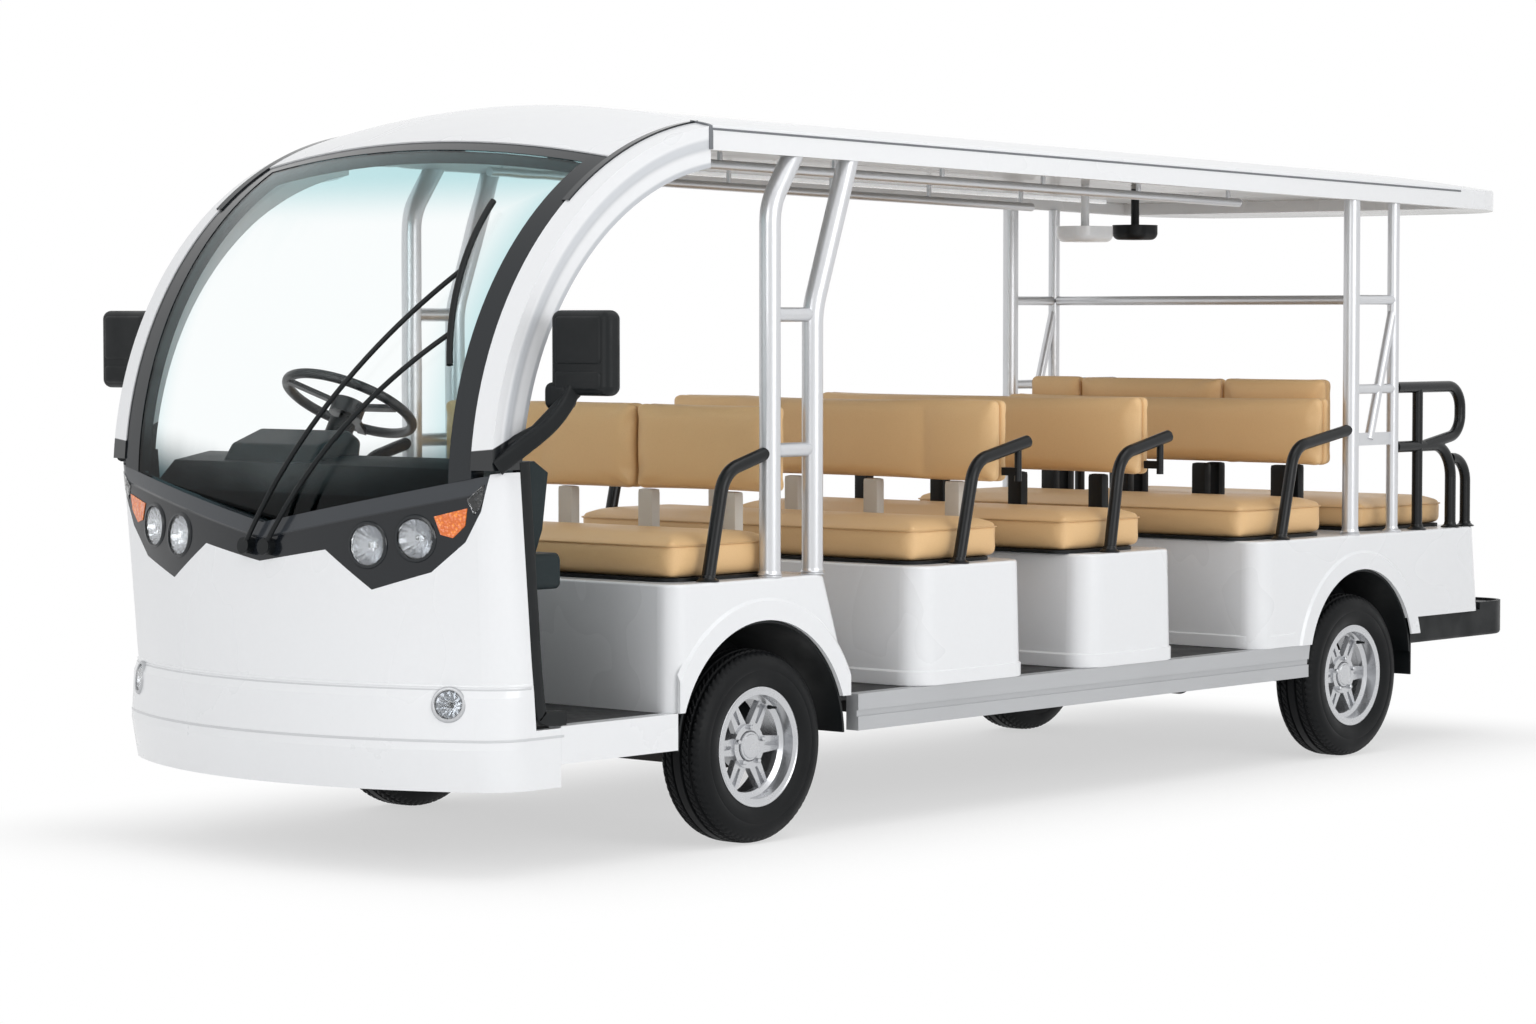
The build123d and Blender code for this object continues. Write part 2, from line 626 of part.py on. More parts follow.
def tyre_solid():
    half = TYRE_W / 2
    r = TYRE_R
    b = RIM_R
    seat = RIM_W / 2 - 12
    outer = [(r, 12), (r - 8, 15), (r - 8, 21), (r, 24), (r, half - 34), (r - 8, half - 18), (r - 30, half - 4),
             (b + 55, half), (b + 16, seat + 2), (b, seat)]
    inner = [(radius, -across) for radius, across in reversed(outer)]
    return turned(inner + outer)


def spoke_slice(points, y0, y1):
    """Points (along, across) of a spoke that lies along +X, carried through the wheel's width."""
    face = Face(Wire.make_polygon([(along, y0, across) for along, across in points], close=True))
    return extrude(face, amount=y1 - y0, dir=(0, 1, 0))


def rim_solid():
    """Left wheel, its outer side towards +Y: barrel, six spokes, hub and bead flanges."""
    half = RIM_W / 2
    seat = half - 12
    f = RIM_R + RIM_FLANGE
    t = 7.0
    pts = [(RIM_R, -seat), (f, -seat - 3), (f, -half), (RIM_R - t, -half), (RIM_R - t, -10), (RIM_R - 22, 4),
           (RIM_R - 22, 22), (RIM_R - t, 30), (RIM_R - t, half), (f, half), (f, seat + 3), (RIM_R, seat)]
    barrel = turned(pts)
    hub = cross_cylinder(0, 0, 62, -22, HUB_FACE)
    wheel = barrel + hub
    turning = Axis((0, 0, 0), (0, 1, 0))
    groove = spoke_slice([(70, -4), (70, 4), (RIM_R - 24, 9), (RIM_R - 24, -9)], 14, 30)
    arm = spoke_slice([(40, -26), (40, 26), (RIM_R - 20, 19), (RIM_R - 20, -19)], 4, 24) - groove
    for i in range(SPOKES):
        wheel = wheel + arm.rotate(turning, i * 360 / SPOKES)
    wheel = wheel - cross_cylinder(0, 0, 44, HUB_FACE - 12, HUB_FACE + 1)
    return wheel - cross_cylinder(0, 0, SPINDLE_R + RUNNING_GAP, -60, 60)


# Seats, posts and rails

def seat_parts():
    boards, cushions, backs, struts = [], [], [], []
    for name, front, rear, c_front, c_rear, back_x, back_top in ROWS:
        half = SEAT_HALF - (40 if name == "row5" else 0)
        plan = Rectangle(abs(c_front - c_rear), 2 * half)
        plan = fillet(plan.vertices(), 70)
        middle = Pos(from_axle((c_front + c_rear) / 2), 0, 0)
        boards.append(middle * (Pos(0, 0, BASE_TOP_Z) * extrude(plan, BOARD)))
        pad = extrude(plan, CUSHION - (20 if name == "row5" else 0))
        pad = fillet(pad.edges().group_by(Axis.Z)[-1], 28)
        cushions.append(middle * (Pos(0, 0, BASE_TOP_Z + BOARD) * pad))
        x = from_axle(back_x)
        wide = half - BACK_INSET
        rest = block(x - BACK_SHEET, x, -wide, wide, BACK_LOW_Z, back_top)
        backs.append(fillet(rest.edges(), 24))
        for y in STRUT_Y:
            struts.append(upright(x - BACK_SHEET / 2, y, BASE_TOP_Z, BACK_LOW_Z, 15.0))
    return boards, cushions, backs, struts


STRUT_Y = [-480.0, -160.0, 160.0, 480.0]


def front_posts():
    """Left side: two uprights that curve into the roof and the rungs between them."""
    p1 = from_axle(-62.0)
    p2 = from_axle(-244.0)
    lead = tube([(p1, POST_Y, BASE_TOP_Z), (p1, POST_Y, 1770), (p1 - 130, POST_Y, 1960)], FRONT_POST_R, 160)
    trail = tube([(p2, POST_Y, BASE_TOP_Z), (p2, POST_Y, 1480), (p2 - 175, POST_Y, 1960)], FRONT_POST_R, 240)
    ladder = lead + trail
    for z in (1090.0, 1467.0):
        ladder = ladder + straight((p1, POST_Y, z), (p2, POST_Y, z), RUNG_R)
    return biggest(ladder - above_fascia())


def rear_posts():
    p3 = REAR_AXLE_X
    p4 = from_axle(-3255.0)
    posts = upright(p3, POST_Y, BASE_TOP_Z, 1900, REAR_POST_R)
    posts = posts + upright(p4, POST_Y, BASE_TOP_Z, 1900, TAIL_POST_R)
    for z in (1220.0, 1517.0):
        posts = posts + straight((p3, POST_Y, z), (p4, POST_Y, z), RUNG_R * 0.8)
    posts = posts + block(p4, p3, POST_Y - 6, POST_Y + 6, 1032.0, 1074.0)
    posts = posts + straight((p4, POST_Y, 1490.0), (p3 - 110, POST_Y, 1053.0), RUNG_R * 0.8)
    reach = POST_Y - TAIL_POST_R - FIT
    bar = straight((p4, -reach, 1517.0), (p4, reach, 1517.0), RUNG_R * 0.8)
    return biggest(posts - above_fascia()), bar


def biggest(shape):
    return sorted(shape.solids(), key=lambda s: s.volume)[-1]


# Side handrails, left side: foot, bend and rear end, all from the front axle
RAIL_BEND_Z = 1035.0
RAIL_END_Z = 1088.0
RAILS = [
    (198.0, 130.0, -62.0),
    (-906.0, -980.0, -1236.0),
    (-1653.0, -1705.0, -1960.0),
    (-2589.0, -2665.0, -3000.0),
]


def handrails(*posts):
    rails = []
    for foot, bend, end in RAILS:
        slope = (foot - bend) / (RAIL_BEND_Z - BASE_TOP_Z)
        start = (from_axle(foot + 30 * slope), POST_Y, BASE_TOP_Z - 30)
        knee = (from_axle(bend), POST_Y, RAIL_BEND_Z)
        rail = tube([start, knee, (from_axle(end), POST_Y, RAIL_END_Z)], HANDRAIL_R, 90)
        rail = rail - block(REAR_X, FRONT_X, 0, HALF, 0, BASE_TOP_Z)
        rails.append(biggest(cut_all(rail, *posts)))
    for row in (1, 2):
        rails[row] = rails[row] + rail_stub(ROWS[row], RAILS[row])
    return rails


def rail_stub(row, rail):
    """Holds the free rear end of a rail to the end of the backrest behind it."""
    x = from_axle(row[5]) - BACK_SHEET / 2 - 8.0
    foot, bend, end = rail
    rise = (RAIL_END_Z - RAIL_BEND_Z) / (bend - end)
    top = RAIL_BEND_Z + rise * (from_axle(bend) - x)
    post = upright(x, POST_Y, BACK_LOW_Z + 13, top, STUB_R)
    back_end = SEAT_HALF - BACK_INSET + FIT
    return post + block(x - 12, x + 12, back_end, POST_Y, BACK_LOW_Z + 30, BACK_LOW_Z + 54)


REAR_LEG_X = from_axle(-3722.0)


def rear_handrails():
    """Left side: a low rail to the deck, a loop above it, an upright under the loop and an outer leg."""
    p4 = from_axle(-3255.0) - TAIL_POST_R - FIT
    y = POST_Y
    deck = from_axle(-3626.0)
    low = tube([(p4, y, 1022.0), (deck, y, 1022.0), (deck, y, BASE_TOP_Z)], HANDRAIL_R, 110)
    loop = tube([(p4, y, 1222.0), (from_axle(-3685.0), y, 1222.0), (from_axle(-3685.0), y, 1060.0),
                 (from_axle(-3450.0), y, 1022.0)], HANDRAIL_R, 75)
    inner = upright(from_axle(-3413.0), y, BASE_TOP_Z, 1222.0, HANDRAIL_R - 1)
    outer = tube([(deck, y, 975.0), (REAR_LEG_X, y, 975.0), (REAR_LEG_X, y, BASE_TOP_Z)], HANDRAIL_R - 1, 80)
    return low + loop + inner + outer


# Cab

WHEEL_CENTRE = (from_axle(600.0), -277.0, 1217.0)
WHEEL_TILT = 28.0
STEERING_R = 185.0
COLUMN_R = 16.0
SLEEVE_R = 38.0


def tilted(shape):
    return Pos(*WHEEL_CENTRE) * (Rotation(0, -WHEEL_TILT, 0) * shape)


def steering_wheel():
    rim = Torus(STEERING_R, 14)
    hub = Pos(0, 0, -40) * Cylinder(48, 44, align=(Align.CENTER, Align.CENTER, Align.MIN))
    wheel = rim + hub
    for angle in (90, 210, 330):
        arm = Pos(STEERING_R / 2 + 12, 0, -12) * Box(STEERING_R - 24, 26, 12)
        wheel = wheel + Rotation(0, 0, angle) * arm
    socket = Cylinder(COLUMN_R + RUNNING_GAP, 31, align=(Align.CENTER, Align.CENTER, Align.MIN))
    return tilted(wheel - Pos(0, 0, -41) * socket)


def steering_column():
    shaft = Pos(0, 0, -420) * Cylinder(COLUMN_R, 405, align=(Align.CENTER, Align.CENTER, Align.MIN))
    sleeve = Pos(0, 0, -420) * Cylinder(SLEEVE_R, 360, align=(Align.CENTER, Align.CENTER, Align.MIN))
    return tilted(shaft + sleeve)


DASH_HALF = 640.0
SHELF_HALF = DASH_HALF + 45.0
DASH_LOW_Z = 745.0
BULKHEAD = 22.0
BULKHEAD_X = DOOR_EDGE_LOW_X - 40.0


def dashboard():
    """A moulded top with a hood over the column and a shelf below that reaches the door openings."""
    pts = [(1010.0, DASH_LOW_Z + 120), (1010.0, 985.0), (930.0, 1060.0), (800.0, 1082.0), (748.0, 1050.0),
           (770.0, 900.0), (800.0, DASH_LOW_Z + 85)]
    top = side_prism([(from_axle(x), z) for x, z in pts], -DASH_HALF, DASH_HALF)
    hood = [(960.0, 1000.0), (880.0, 1110.0), (770.0, 1150.0), (725.0, 1120.0), (745.0, 985.0)]
    hood = side_prism([(from_axle(x), z) for x, z in hood], WHEEL_CENTRE[1] - 190, WHEEL_CENTRE[1] + 190)
    shelf = block(from_axle(750.0), from_axle(905.0), -SHELF_HALF, SHELF_HALF, DASH_LOW_Z, DASH_LOW_Z + 95)
    edges = [e for e in hood.edges() if e.center().Z > 1020]
    whole = top + fillet(edges, 22) + fillet(shelf.edges().filter_by(Axis.X), 20)
    sleeve = Pos(0, 0, -500) * Cylinder(SLEEVE_R + FIT, 500, align=(Align.CENTER, Align.CENTER, Align.MIN))
    return whole - tilted(sleeve)


def bulkhead():
    """The wall in front of the driver's feet, standing on the floor and carrying the dashboard."""
    return block(BULKHEAD_X - BULKHEAD, BULKHEAD_X, -SHELF_HALF, SHELF_HALF, FLOOR_Z, DASH_LOW_Z - FIT)


MIRROR_ARM_R = 19.0


def mirrors(pillar):
    knees = [(from_axle(1015.0), 700, 1105.0), (from_axle(945.0), 790, 1165.0), (from_axle(875.0), 862, 1270.0)]
    arm = tube(knees, MIRROR_ARM_R, 45) - pillar
    arm = biggest(arm & block(ARC_X, FRONT_X, HALF - 30, 1100, 0, 3000))
    head = block(from_axle(840.0), from_axle(900.0), 790, 1000, 1258, 1478)
    head = fillet(head.edges(), 24)
    glass = block(from_axle(836.0), from_axle(840.0) - FIT, 806, 984, 1274, 1462)
    return arm - head, head, glass


def on_glass(y, angle, stand):
    """A point in front of the glass: side place, angle on the front arc, distance off the glass."""
    r = arc_radius(y) + stand
    turn = math.radians(angle)
    return (ARC_X + r * math.cos(turn), y, ARC_Z + r * math.sin(turn))


# Wiper: places across and angles on the front arc
WIPER_FEET_Y = (-45.0, 35.0)
WIPER_FOOT_Z = 852.0
WIPER_R = 7.0
WIPER_STAND = 16.0
BLADE = [(587.0, 19.0), (520.0, 34.0), (487.0, 47.0)]
ROD_MIDDLES = [(190.0, 10.5), (255.0, 7.5)]
ROD_ENDS = [(520.0, 34.0), (566.0, 24.0)]


def bent(points, radius):
    arc = ThreePointArc(*points)
    return sweep(Plane(origin=arc @ 0, z_dir=arc % 0) * Circle(radius), path=arc)


def wiper():
    """Two rods from bosses on the lamp panel up to one blade."""
    whole = bent([on_glass(y, a, WIPER_STAND) for y, a in BLADE], WIPER_R + 2)
    layer = cowl_band(-26.0, -FIT)
    for foot_y, middle, end in zip(WIPER_FEET_Y, ROD_MIDDLES, ROD_ENDS):
        boss = layer & lamp_core((foot_y, WIPER_FOOT_Z, 22.0))
        foot_x = boss.bounding_box().max.X - 10
        foot = (foot_x, foot_y, WIPER_FOOT_Z)
        rod = [foot, on_glass(*middle, WIPER_STAND + 12), on_glass(*end, WIPER_STAND)]
        whole = whole + boss + bent(rod, WIPER_R)
    return whole


# Rear bumper that is also a footboard
STEP_FRONT_X = from_axle(-3362.0)
STEP_REAR_X = REAR_X + 70.0
STEP_HALF = HALF - 23.0
STEP_LOW_Z = 353.0
STEP_TOP_Z = 470.0
STEP_BAND = 70.0
STEP_CORNER_R = 115.0
STEP_TRAY = 8.0


def step_plan(inset, front_x):
    """Plan of the footboard with round rear corners."""
    plan = Rectangle(front_x - STEP_REAR_X - inset, 2 * (STEP_HALF - inset))
    plan = fillet(plan.vertices().group_by(Axis.X)[0], STEP_CORNER_R - inset)
    return Pos((front_x + STEP_REAR_X + inset) / 2, 0, 0) * plan


def rear_step():
    """A band round the tail, a footboard behind the body and two arms under the chassis rails."""
    tail_x = from_axle(ROWS[4][2]) - 46.0
    low = REAR_BODY_Z - FIT
    band = Pos(0, 0, STEP_LOW_Z) * extrude(step_plan(0.0, STEP_FRONT_X), low - STEP_LOW_Z)
    inside = STEP_HALF - STEP_BAND
    band = band - block(tail_x - 20, STEP_FRONT_X + 10, -inside, inside, STEP_LOW_Z - 1, STEP_TOP_Z)
    board = Pos(0, 0, low - 1) * extrude(step_plan(0.0, tail_x), STEP_TOP_Z - low + 1)
    tray = Pos(0, 0, STEP_TOP_Z - STEP_TRAY) * extrude(step_plan(14.0, tail_x - 14.0), STEP_TRAY + 1)
    under = FRAME_Z + KICK_Z - FIT
    arm = block(tail_x - 60, from_axle(-3500.0), RAIL_Y - 30, RAIL_Y + 30, STEP_LOW_Z + 10, under)
    return round_lower_edge(band + board) - tray + arm + flip(arm)


def round_lower_edge(shape):
    outer = []
    for edge in shape.edges():
        middle = edge.center()
        low = abs(middle.Z - STEP_LOW_Z) < 0.5 and middle.X < STEP_FRONT_X - 5
        if low and (middle.X < STEP_REAR_X + STEP_CORNER_R or abs(middle.Y) > STEP_HALF - 1):
            outer.append(edge)
    return fillet(outer, 12.0)


CEILING_RAIL_Y = 430.0
CEILING_RAIL_R = 14.0
CEILING_RAIL_DROP = 14.0   # below the fascia's lower edge
HANGERS = 6


def ceiling_rail():
    """Left side: a grab rail along the ceiling on short hangers."""
    front, rear = ROOF_FRONT_X - 330.0, REAR_AXLE_X + 250.0
    rail = straight((front, CEILING_RAIL_Y, fascia_z(front) - CEILING_RAIL_DROP),
                    (rear, CEILING_RAIL_Y, fascia_z(rear) - CEILING_RAIL_DROP), CEILING_RAIL_R)
    for i in range(HANGERS):
        x = front - 60 + (rear - front + 120) * i / (HANGERS - 1)
        z = fascia_z(x)
        rail = rail + upright(x, CEILING_RAIL_Y, z - CEILING_RAIL_DROP, z + ROOF_RECESS - 1.0, 8.0)
    return rail


# Pods that hang from the middle of the ceiling: place along, height, length, width, depth
CEILING_LAMP = (from_axle(-2480.0), 1735.0, 190.0, 150.0, 52.0)
CEILING_SPEAKER = (from_axle(-2763.0), 1745.0, 150.0, 130.0, 50.0)


def ceiling_pod(place):
    """A rounded pod on a stem that is seated under the roof's recess."""
    x, z, length, width, depth = place
    plan = fillet(Rectangle(length, width).vertices(), width * 0.4)
    pod = extrude(plan, depth)
    pod = fillet(pod.edges().group_by(Axis.Z)[0], depth * 0.45)
    pod = Pos(x, 0, z - depth / 2) * pod
    stem = upright(x, 0, z, fascia_z(x) + ROOF_RECESS - FIT, 14.0)
    return pod + stem


TAIL_LAMP_R = 45.0


def tail_lamp():
    x = from_axle(ROWS[4][2]) - 12.0
    return Pos(x, 560.0, 640.0) * (Rotation(0, 90, 0) * Cylinder(TAIL_LAMP_R, 40))


def battery():
    base = ROWS[2]
    middle = from_axle((base[1] + base[2]) / 2)
    return block(middle - 200, middle + 200, -550, 550, FLOOR_Z, FLOOR_Z + 275)


def mudflap():
    x = REAR_AXLE_X - ARCH_SHIFT - REAR_ARCH_R - LINER - 3
    return block(x - 6, x, REAR_WELL_Y + 20, HALF - 8, 251.0, REAR_BODY_Z - FIT)


if __name__ == "__main__":
    os.makedirs("parts", exist_ok=True)
    roof = roof_solid()
    write("roof_panel", roof)
    cap, pillar, surround, glass = front_arc()
    write("roof_cap", cap)
    write("a_pillars", *pair(pillar))
    write("windscreen_trim", surround)
    write("windscreen", glass)
    cowl, mask = lower_front()
    write("front_cowl", cowl)
    write("lamp_panel", mask)
    heads, fogs, amber, bowls = front_lamps()
    write("headlamp_lenses", *heads, *[flip(h) for h in heads])
    write("fog_lamp_lenses", *fogs, *[flip(f) for f in fogs])
    write("indicator_lenses", *pair(amber))
    write("lamp_bowls", *bowls, *[flip(b) for b in bowls])
    write("wiper", wiper())
    bases = seat_bases()
    write("row1_base", bases["row1"])
    write("middle_bases", bases["row2"], bases["row3"])
    write("rear_body", bases["rear_body"])
    front_liner = arch_liner(FRONT_AXLE_X, TYRE_R, FRONT_ARCH_R, FRONT_WELL_Y, SILL_BOTTOM_Z)
    rear_liner = arch_liner(REAR_AXLE_X - ARCH_SHIFT, REAR_ARCH_Z, REAR_ARCH_R, REAR_WELL_Y, REAR_ARCH_Z + 20)
    write("arch_liners", *pair(front_liner), *pair(rear_liner))
    rail, members, tow = chassis()
    write("chassis_rails", *pair(rail))
    write("chassis_crossmembers", *members)
    write("tow_bracket", tow)
    write("floor_deck", floor_sheet())
    sill, step = sills()
    write("side_sills", *pair(sill))
    write("front_steps", *pair(step))
    write("front_axle", front_axle())
    left = knuckle()
    write("knuckle_left", left)
    write("knuckle_right", flip(left))
    write("rear_axle", rear_axle())
    tyre = tyre_solid()
    rim = rim_solid()
    for name, x in (("front", FRONT_AXLE_X), ("rear", REAR_AXLE_X)):
        place = Pos(x, TRACK / 2, TYRE_R)
        write(f"tyre_{name}_left", place * tyre)
        write(f"tyre_{name}_right", flip(place * tyre))
        write(f"rim_{name}_left", place * rim)
        write(f"rim_{name}_right", flip(place * rim))
    boards, cushions, backs, struts = seat_parts()
    write("seat_boards", *boards)
    write("seat_cushions", *cushions)
    write("seat_backrests", *backs)
    write("backrest_struts", *struts)
    ladder = front_posts()
    write("front_posts", *pair(ladder))
    frame, bar = rear_posts()
    write("rear_posts", *pair(frame), bar)
    rails = handrails(ladder, frame)
    write("side_handrails", *rails, *[flip(r) for r in rails])
    write("rear_handrails", *pair(rear_handrails()))
    write("steering_wheel", steering_wheel())
    write("steering_column", steering_column())
    write("dashboard", dashboard())
    write("cab_bulkhead", bulkhead())
    arm, head, mirror_glass = mirrors(pillar)
    write("mirror_arms", *pair(arm))
    write("mirror_heads", *pair(head))
    write("mirror_glasses", *pair(mirror_glass))
    write("rear_step", rear_step())
    springs = [leaf_spring(FRONT_AXLE_X, TYRE_R - BEAM_DROP + AXLE_BEAM / 2, FRAME_Z, 330),
               leaf_spring(REAR_AXLE_X, TYRE_R + AXLE_TUBE_R, FRAME_Z + KICK_Z, 340)]
    write("leaf_springs", *pair(springs[0]), *pair(springs[1]))
    write("battery_pack", battery())
    write("ceiling_rails", *pair(ceiling_rail()))
    write("ceiling_lamp", ceiling_pod(CEILING_LAMP))
    write("ceiling_speaker", ceiling_pod(CEILING_SPEAKER))
    lamp = tail_lamp() - rear_block()
    write("tail_lamps", *pair(lamp))
    write("mudflaps", *pair(mudflap()))
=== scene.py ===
import math

import bmesh
import bpy
import numpy as np
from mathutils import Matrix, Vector


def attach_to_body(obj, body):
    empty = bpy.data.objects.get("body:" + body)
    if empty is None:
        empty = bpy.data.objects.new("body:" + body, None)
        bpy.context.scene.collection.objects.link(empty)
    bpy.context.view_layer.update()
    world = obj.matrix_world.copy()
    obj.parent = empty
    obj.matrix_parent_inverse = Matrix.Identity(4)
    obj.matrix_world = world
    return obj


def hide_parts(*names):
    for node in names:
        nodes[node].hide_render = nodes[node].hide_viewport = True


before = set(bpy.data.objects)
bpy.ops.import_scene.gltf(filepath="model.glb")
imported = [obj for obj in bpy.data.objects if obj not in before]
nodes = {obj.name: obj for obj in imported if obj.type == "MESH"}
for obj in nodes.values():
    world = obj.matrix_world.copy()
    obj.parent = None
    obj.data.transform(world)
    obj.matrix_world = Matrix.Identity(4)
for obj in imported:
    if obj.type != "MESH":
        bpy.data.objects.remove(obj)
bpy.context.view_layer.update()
scene = bpy.context.scene
print("frame loaded:", len(nodes), "nodes")


# shader trees: a value that is a socket is linked, anything else is set on the input
def feed(tree, socket, value):
    if isinstance(value, bpy.types.NodeSocket):
        tree.links.new(value, socket)
    else:
        socket.default_value = value


def node(tree, kind, inputs=None, **settings):
    made = tree.nodes.new("ShaderNode" + kind)
    for key, value in settings.items():
        setattr(made, key, value)
    for key, value in (inputs or {}).items():
        feed(tree, made.inputs[key], value)
    return made


def maths(tree, operation, first, second=0.0):
    return node(tree, "Math", {0: first, 1: second}, operation=operation).outputs[0]


def hypot(tree, first, second):
    # root of the sum of two squares
    squares = [maths(tree, "MULTIPLY", value, value) for value in (first, second)]
    return maths(tree, "SQRT", maths(tree, "ADD", *squares))


def ramp(tree, value, low, high, start=0.0, end=1.0, kind="SMOOTHSTEP"):
    wanted = {"Value": value, "From Min": low, "From Max": high, "To Min": start, "To Max": end}
    return node(tree, "MapRange", wanted, interpolation_type=kind).outputs[0]


def gloss(tree, value, low, high, into):
    # straight from a group's lower to its upper roughness
    return ramp(tree, value, low, high, into["Rough Low"], into["Rough High"], "LINEAR")


def mixColour(tree, factor, first, second, blend="MIX"):
    return node(tree, "Mix", {0: factor, 6: first, 7: second}, data_type="RGBA", blend_type=blend).outputs[2]


def noise(tree, place, scale, detail=3.0, rough=0.5):
    wanted = {"Vector": place, "Scale": scale, "Detail": detail, "Roughness": rough}
    return node(tree, "TexNoise", wanted).outputs["Fac"]


def cells(tree, scale, **settings):
    wanted = {"Vector": objectPlace(tree), "Scale": scale}
    return node(tree, "TexVoronoi", wanted, **settings).outputs["Distance"]


def stretched(tree, place, scale):
    return node(tree, "Mapping", {"Vector": place, "Scale": scale}).outputs[0]


def objectPlace(tree):
    return node(tree, "TexCoord").outputs["Object"]


def objectAxes(tree):
    return node(tree, "SeparateXYZ", {0: objectPlace(tree)}).outputs


def rgb(red, green, blue):
    return (red, green, blue, 1.0)


def newGroup(name, inputs):
    # each input's kind follows from its preset; every group puts out a colour, a roughness and a height
    tree = bpy.data.node_groups.new(name, "ShaderNodeTree")
    for label, value in inputs.items():
        kind = "Float" if isinstance(value, float) else {3: "Vector", 4: "Color"}[len(value)]
        socket = tree.interface.new_socket(name=label, in_out="INPUT", socket_type="NodeSocket" + kind)
        socket.default_value = value
    for label, kind in (("Color", "Color"), ("Roughness", "Float"), ("Height", "Float")):
        tree.interface.new_socket(name=label, in_out="OUTPUT", socket_type="NodeSocket" + kind)
    into = tree.nodes.new("NodeGroupInput").outputs
    out = tree.nodes.new("NodeGroupOutput").inputs
    return tree, into, out


def paintSkin():
    # sprayed or gel-coated skin: faint fine flecks, fine peel, road dust that thins out with height
    tree, into, out = newGroup("paintSkin", {
        "Color": rgb(0.8, 0.8, 0.8), "Dust Color": rgb(0.42, 0.38, 0.33), "Dust Amount": 0.2, "Dust Top": 0.5,
        "Rough Low": 0.16, "Rough High": 0.3, "Peel Scale": 90.0})
    place = objectPlace(tree)
    flecks = ramp(tree, noise(tree, place, 70.0, 2.0), 0.2, 0.8, 0.99, 1.0)
    tone = mixColour(tree, 1.0, into["Color"], flecks, "MULTIPLY")
    low = ramp(tree, maths(tree, "DIVIDE", objectAxes(tree)["Z"], into["Dust Top"]), 1.0, 0.25)
    patches = ramp(tree, noise(tree, place, 7.0, 6.0, 0.65), 0.3, 0.75)
    dust = maths(tree, "MULTIPLY", maths(tree, "MULTIPLY", low, patches), into["Dust Amount"])
    feed(tree, out["Color"], mixColour(tree, dust, tone, into["Dust Color"]))
    wiped = ramp(tree, noise(tree, stretched(tree, place, (1.0, 2.0, 1.5)), 1.5, 2.0), 0.2, 0.8)
    dulled = maths(tree, "ADD", gloss(tree, wiped, 0.0, 1.0, into), maths(tree, "MULTIPLY", dust, 0.6))
    feed(tree, out["Roughness"], dulled)
    feed(tree, out["Height"], noise(tree, place, into["Peel Scale"], 1.0))
    return tree


def hideGrain():
    # leatherette: small closed cells, long soft folds, a tone that drifts, and painted shade that darkens the
    # creases between the cells
    tree, into, out = newGroup("hideGrain", {
        "Color": rgb(0.5, 0.3, 0.15), "Drift And Valley Shade Color": rgb(0.3, 0.17, 0.08), "Cell Scale": 330.0,
        "Fold Scale": 5.0})
    place = objectPlace(tree)
    valley = ramp(tree, cells(tree, into["Cell Scale"], feature="DISTANCE_TO_EDGE"), 0.0, 0.16)
    folds = noise(tree, stretched(tree, place, (1.0, 0.45, 1.6)), into["Fold Scale"], 3.0)
    broad = noise(tree, place, 2.3, 2.0)
    tone = mixColour(tree, ramp(tree, broad, 0.3, 0.7, 0.0, 0.22), into["Color"], into["Drift And Valley Shade Color"])
    # painted shade: the low edges between the cells are mixed towards the darker colour
    tone = mixColour(tree, ramp(tree, valley, 1.0, 0.0, 0.0, 0.35), tone, into["Drift And Valley Shade Color"])
    feed(tree, out["Color"], tone)
    feed(tree, out["Roughness"], ramp(tree, folds, 0.3, 0.7, 0.36, 0.5))
    raised = maths(tree, "MULTIPLY", valley, 0.12)
    feed(tree, out["Height"], maths(tree, "ADD", raised, maths(tree, "MULTIPLY", folds, 2.2)))
    return tree


def mouldGrain():
    # moulded plastic or rubber: pebbled skin and scuffs that lighten it
    tree, into, out = newGroup("mouldGrain", {
        "Color": rgb(0.02, 0.02, 0.02), "Scuff Color": rgb(0.12, 0.12, 0.12), "Scuff Amount": 0.3,
        "Grain Scale": 500.0, "Rough Low": 0.35, "Rough High": 0.6})
    place = objectPlace(tree)
    wear = ramp(tree, noise(tree, stretched(tree, place, (3.0, 3.0, 9.0)), 3.0, 8.0, 0.7), 0.5, 0.78)
    wear = maths(tree, "MULTIPLY", wear, into["Scuff Amount"])
    feed(tree, out["Color"], mixColour(tree, wear, into["Color"], into["Scuff Color"]))
    feed(tree, out["Roughness"], gloss(tree, noise(tree, place, 9.0, 4.0), 0.3, 0.7, into))
    feed(tree, out["Height"], cells(tree, into["Grain Scale"], feature="SMOOTH_F1"))
    return tree


def drawnMetal():
    # drawn or brushed metal: fine lines along one direction and a cloudy oxide
    tree, into, out = newGroup("drawnMetal", {
        "Color": rgb(0.7, 0.7, 0.7), "Stretch": (60.0, 60.0, 1.0), "Rough Low": 0.22, "Rough High": 0.42})
    place = objectPlace(tree)
    drawn = node(tree, "VectorMath", {0: place, 1: into["Stretch"]}, operation="MULTIPLY").outputs[0]
    lines = noise(tree, drawn, 9.0, 4.0)
    cloud = noise(tree, place, 2.5, 2.0)
    tone = mixColour(tree, 1.0, into["Color"], ramp(tree, lines, 0.2, 0.8, 0.97, 1.0), "MULTIPLY")
    feed(tree, out["Color"], mixColour(tree, 1.0, tone, ramp(tree, cloud, 0.2, 0.6, 0.94, 1.0), "MULTIPLY"))
    feed(tree, out["Roughness"], gloss(tree, lines, 0.25, 0.75, into))
    feed(tree, out["Height"], lines)
    return tree


groups = {"paint": paintSkin(), "hide": hideGrain(), "mould": mouldGrain(), "metal": drawnMetal()}


def newMaterial(name):
    material = bpy.data.materials.new(name)
    material.use_nodes = True
    return material, material.node_tree, material.node_tree.nodes["Principled BSDF"]


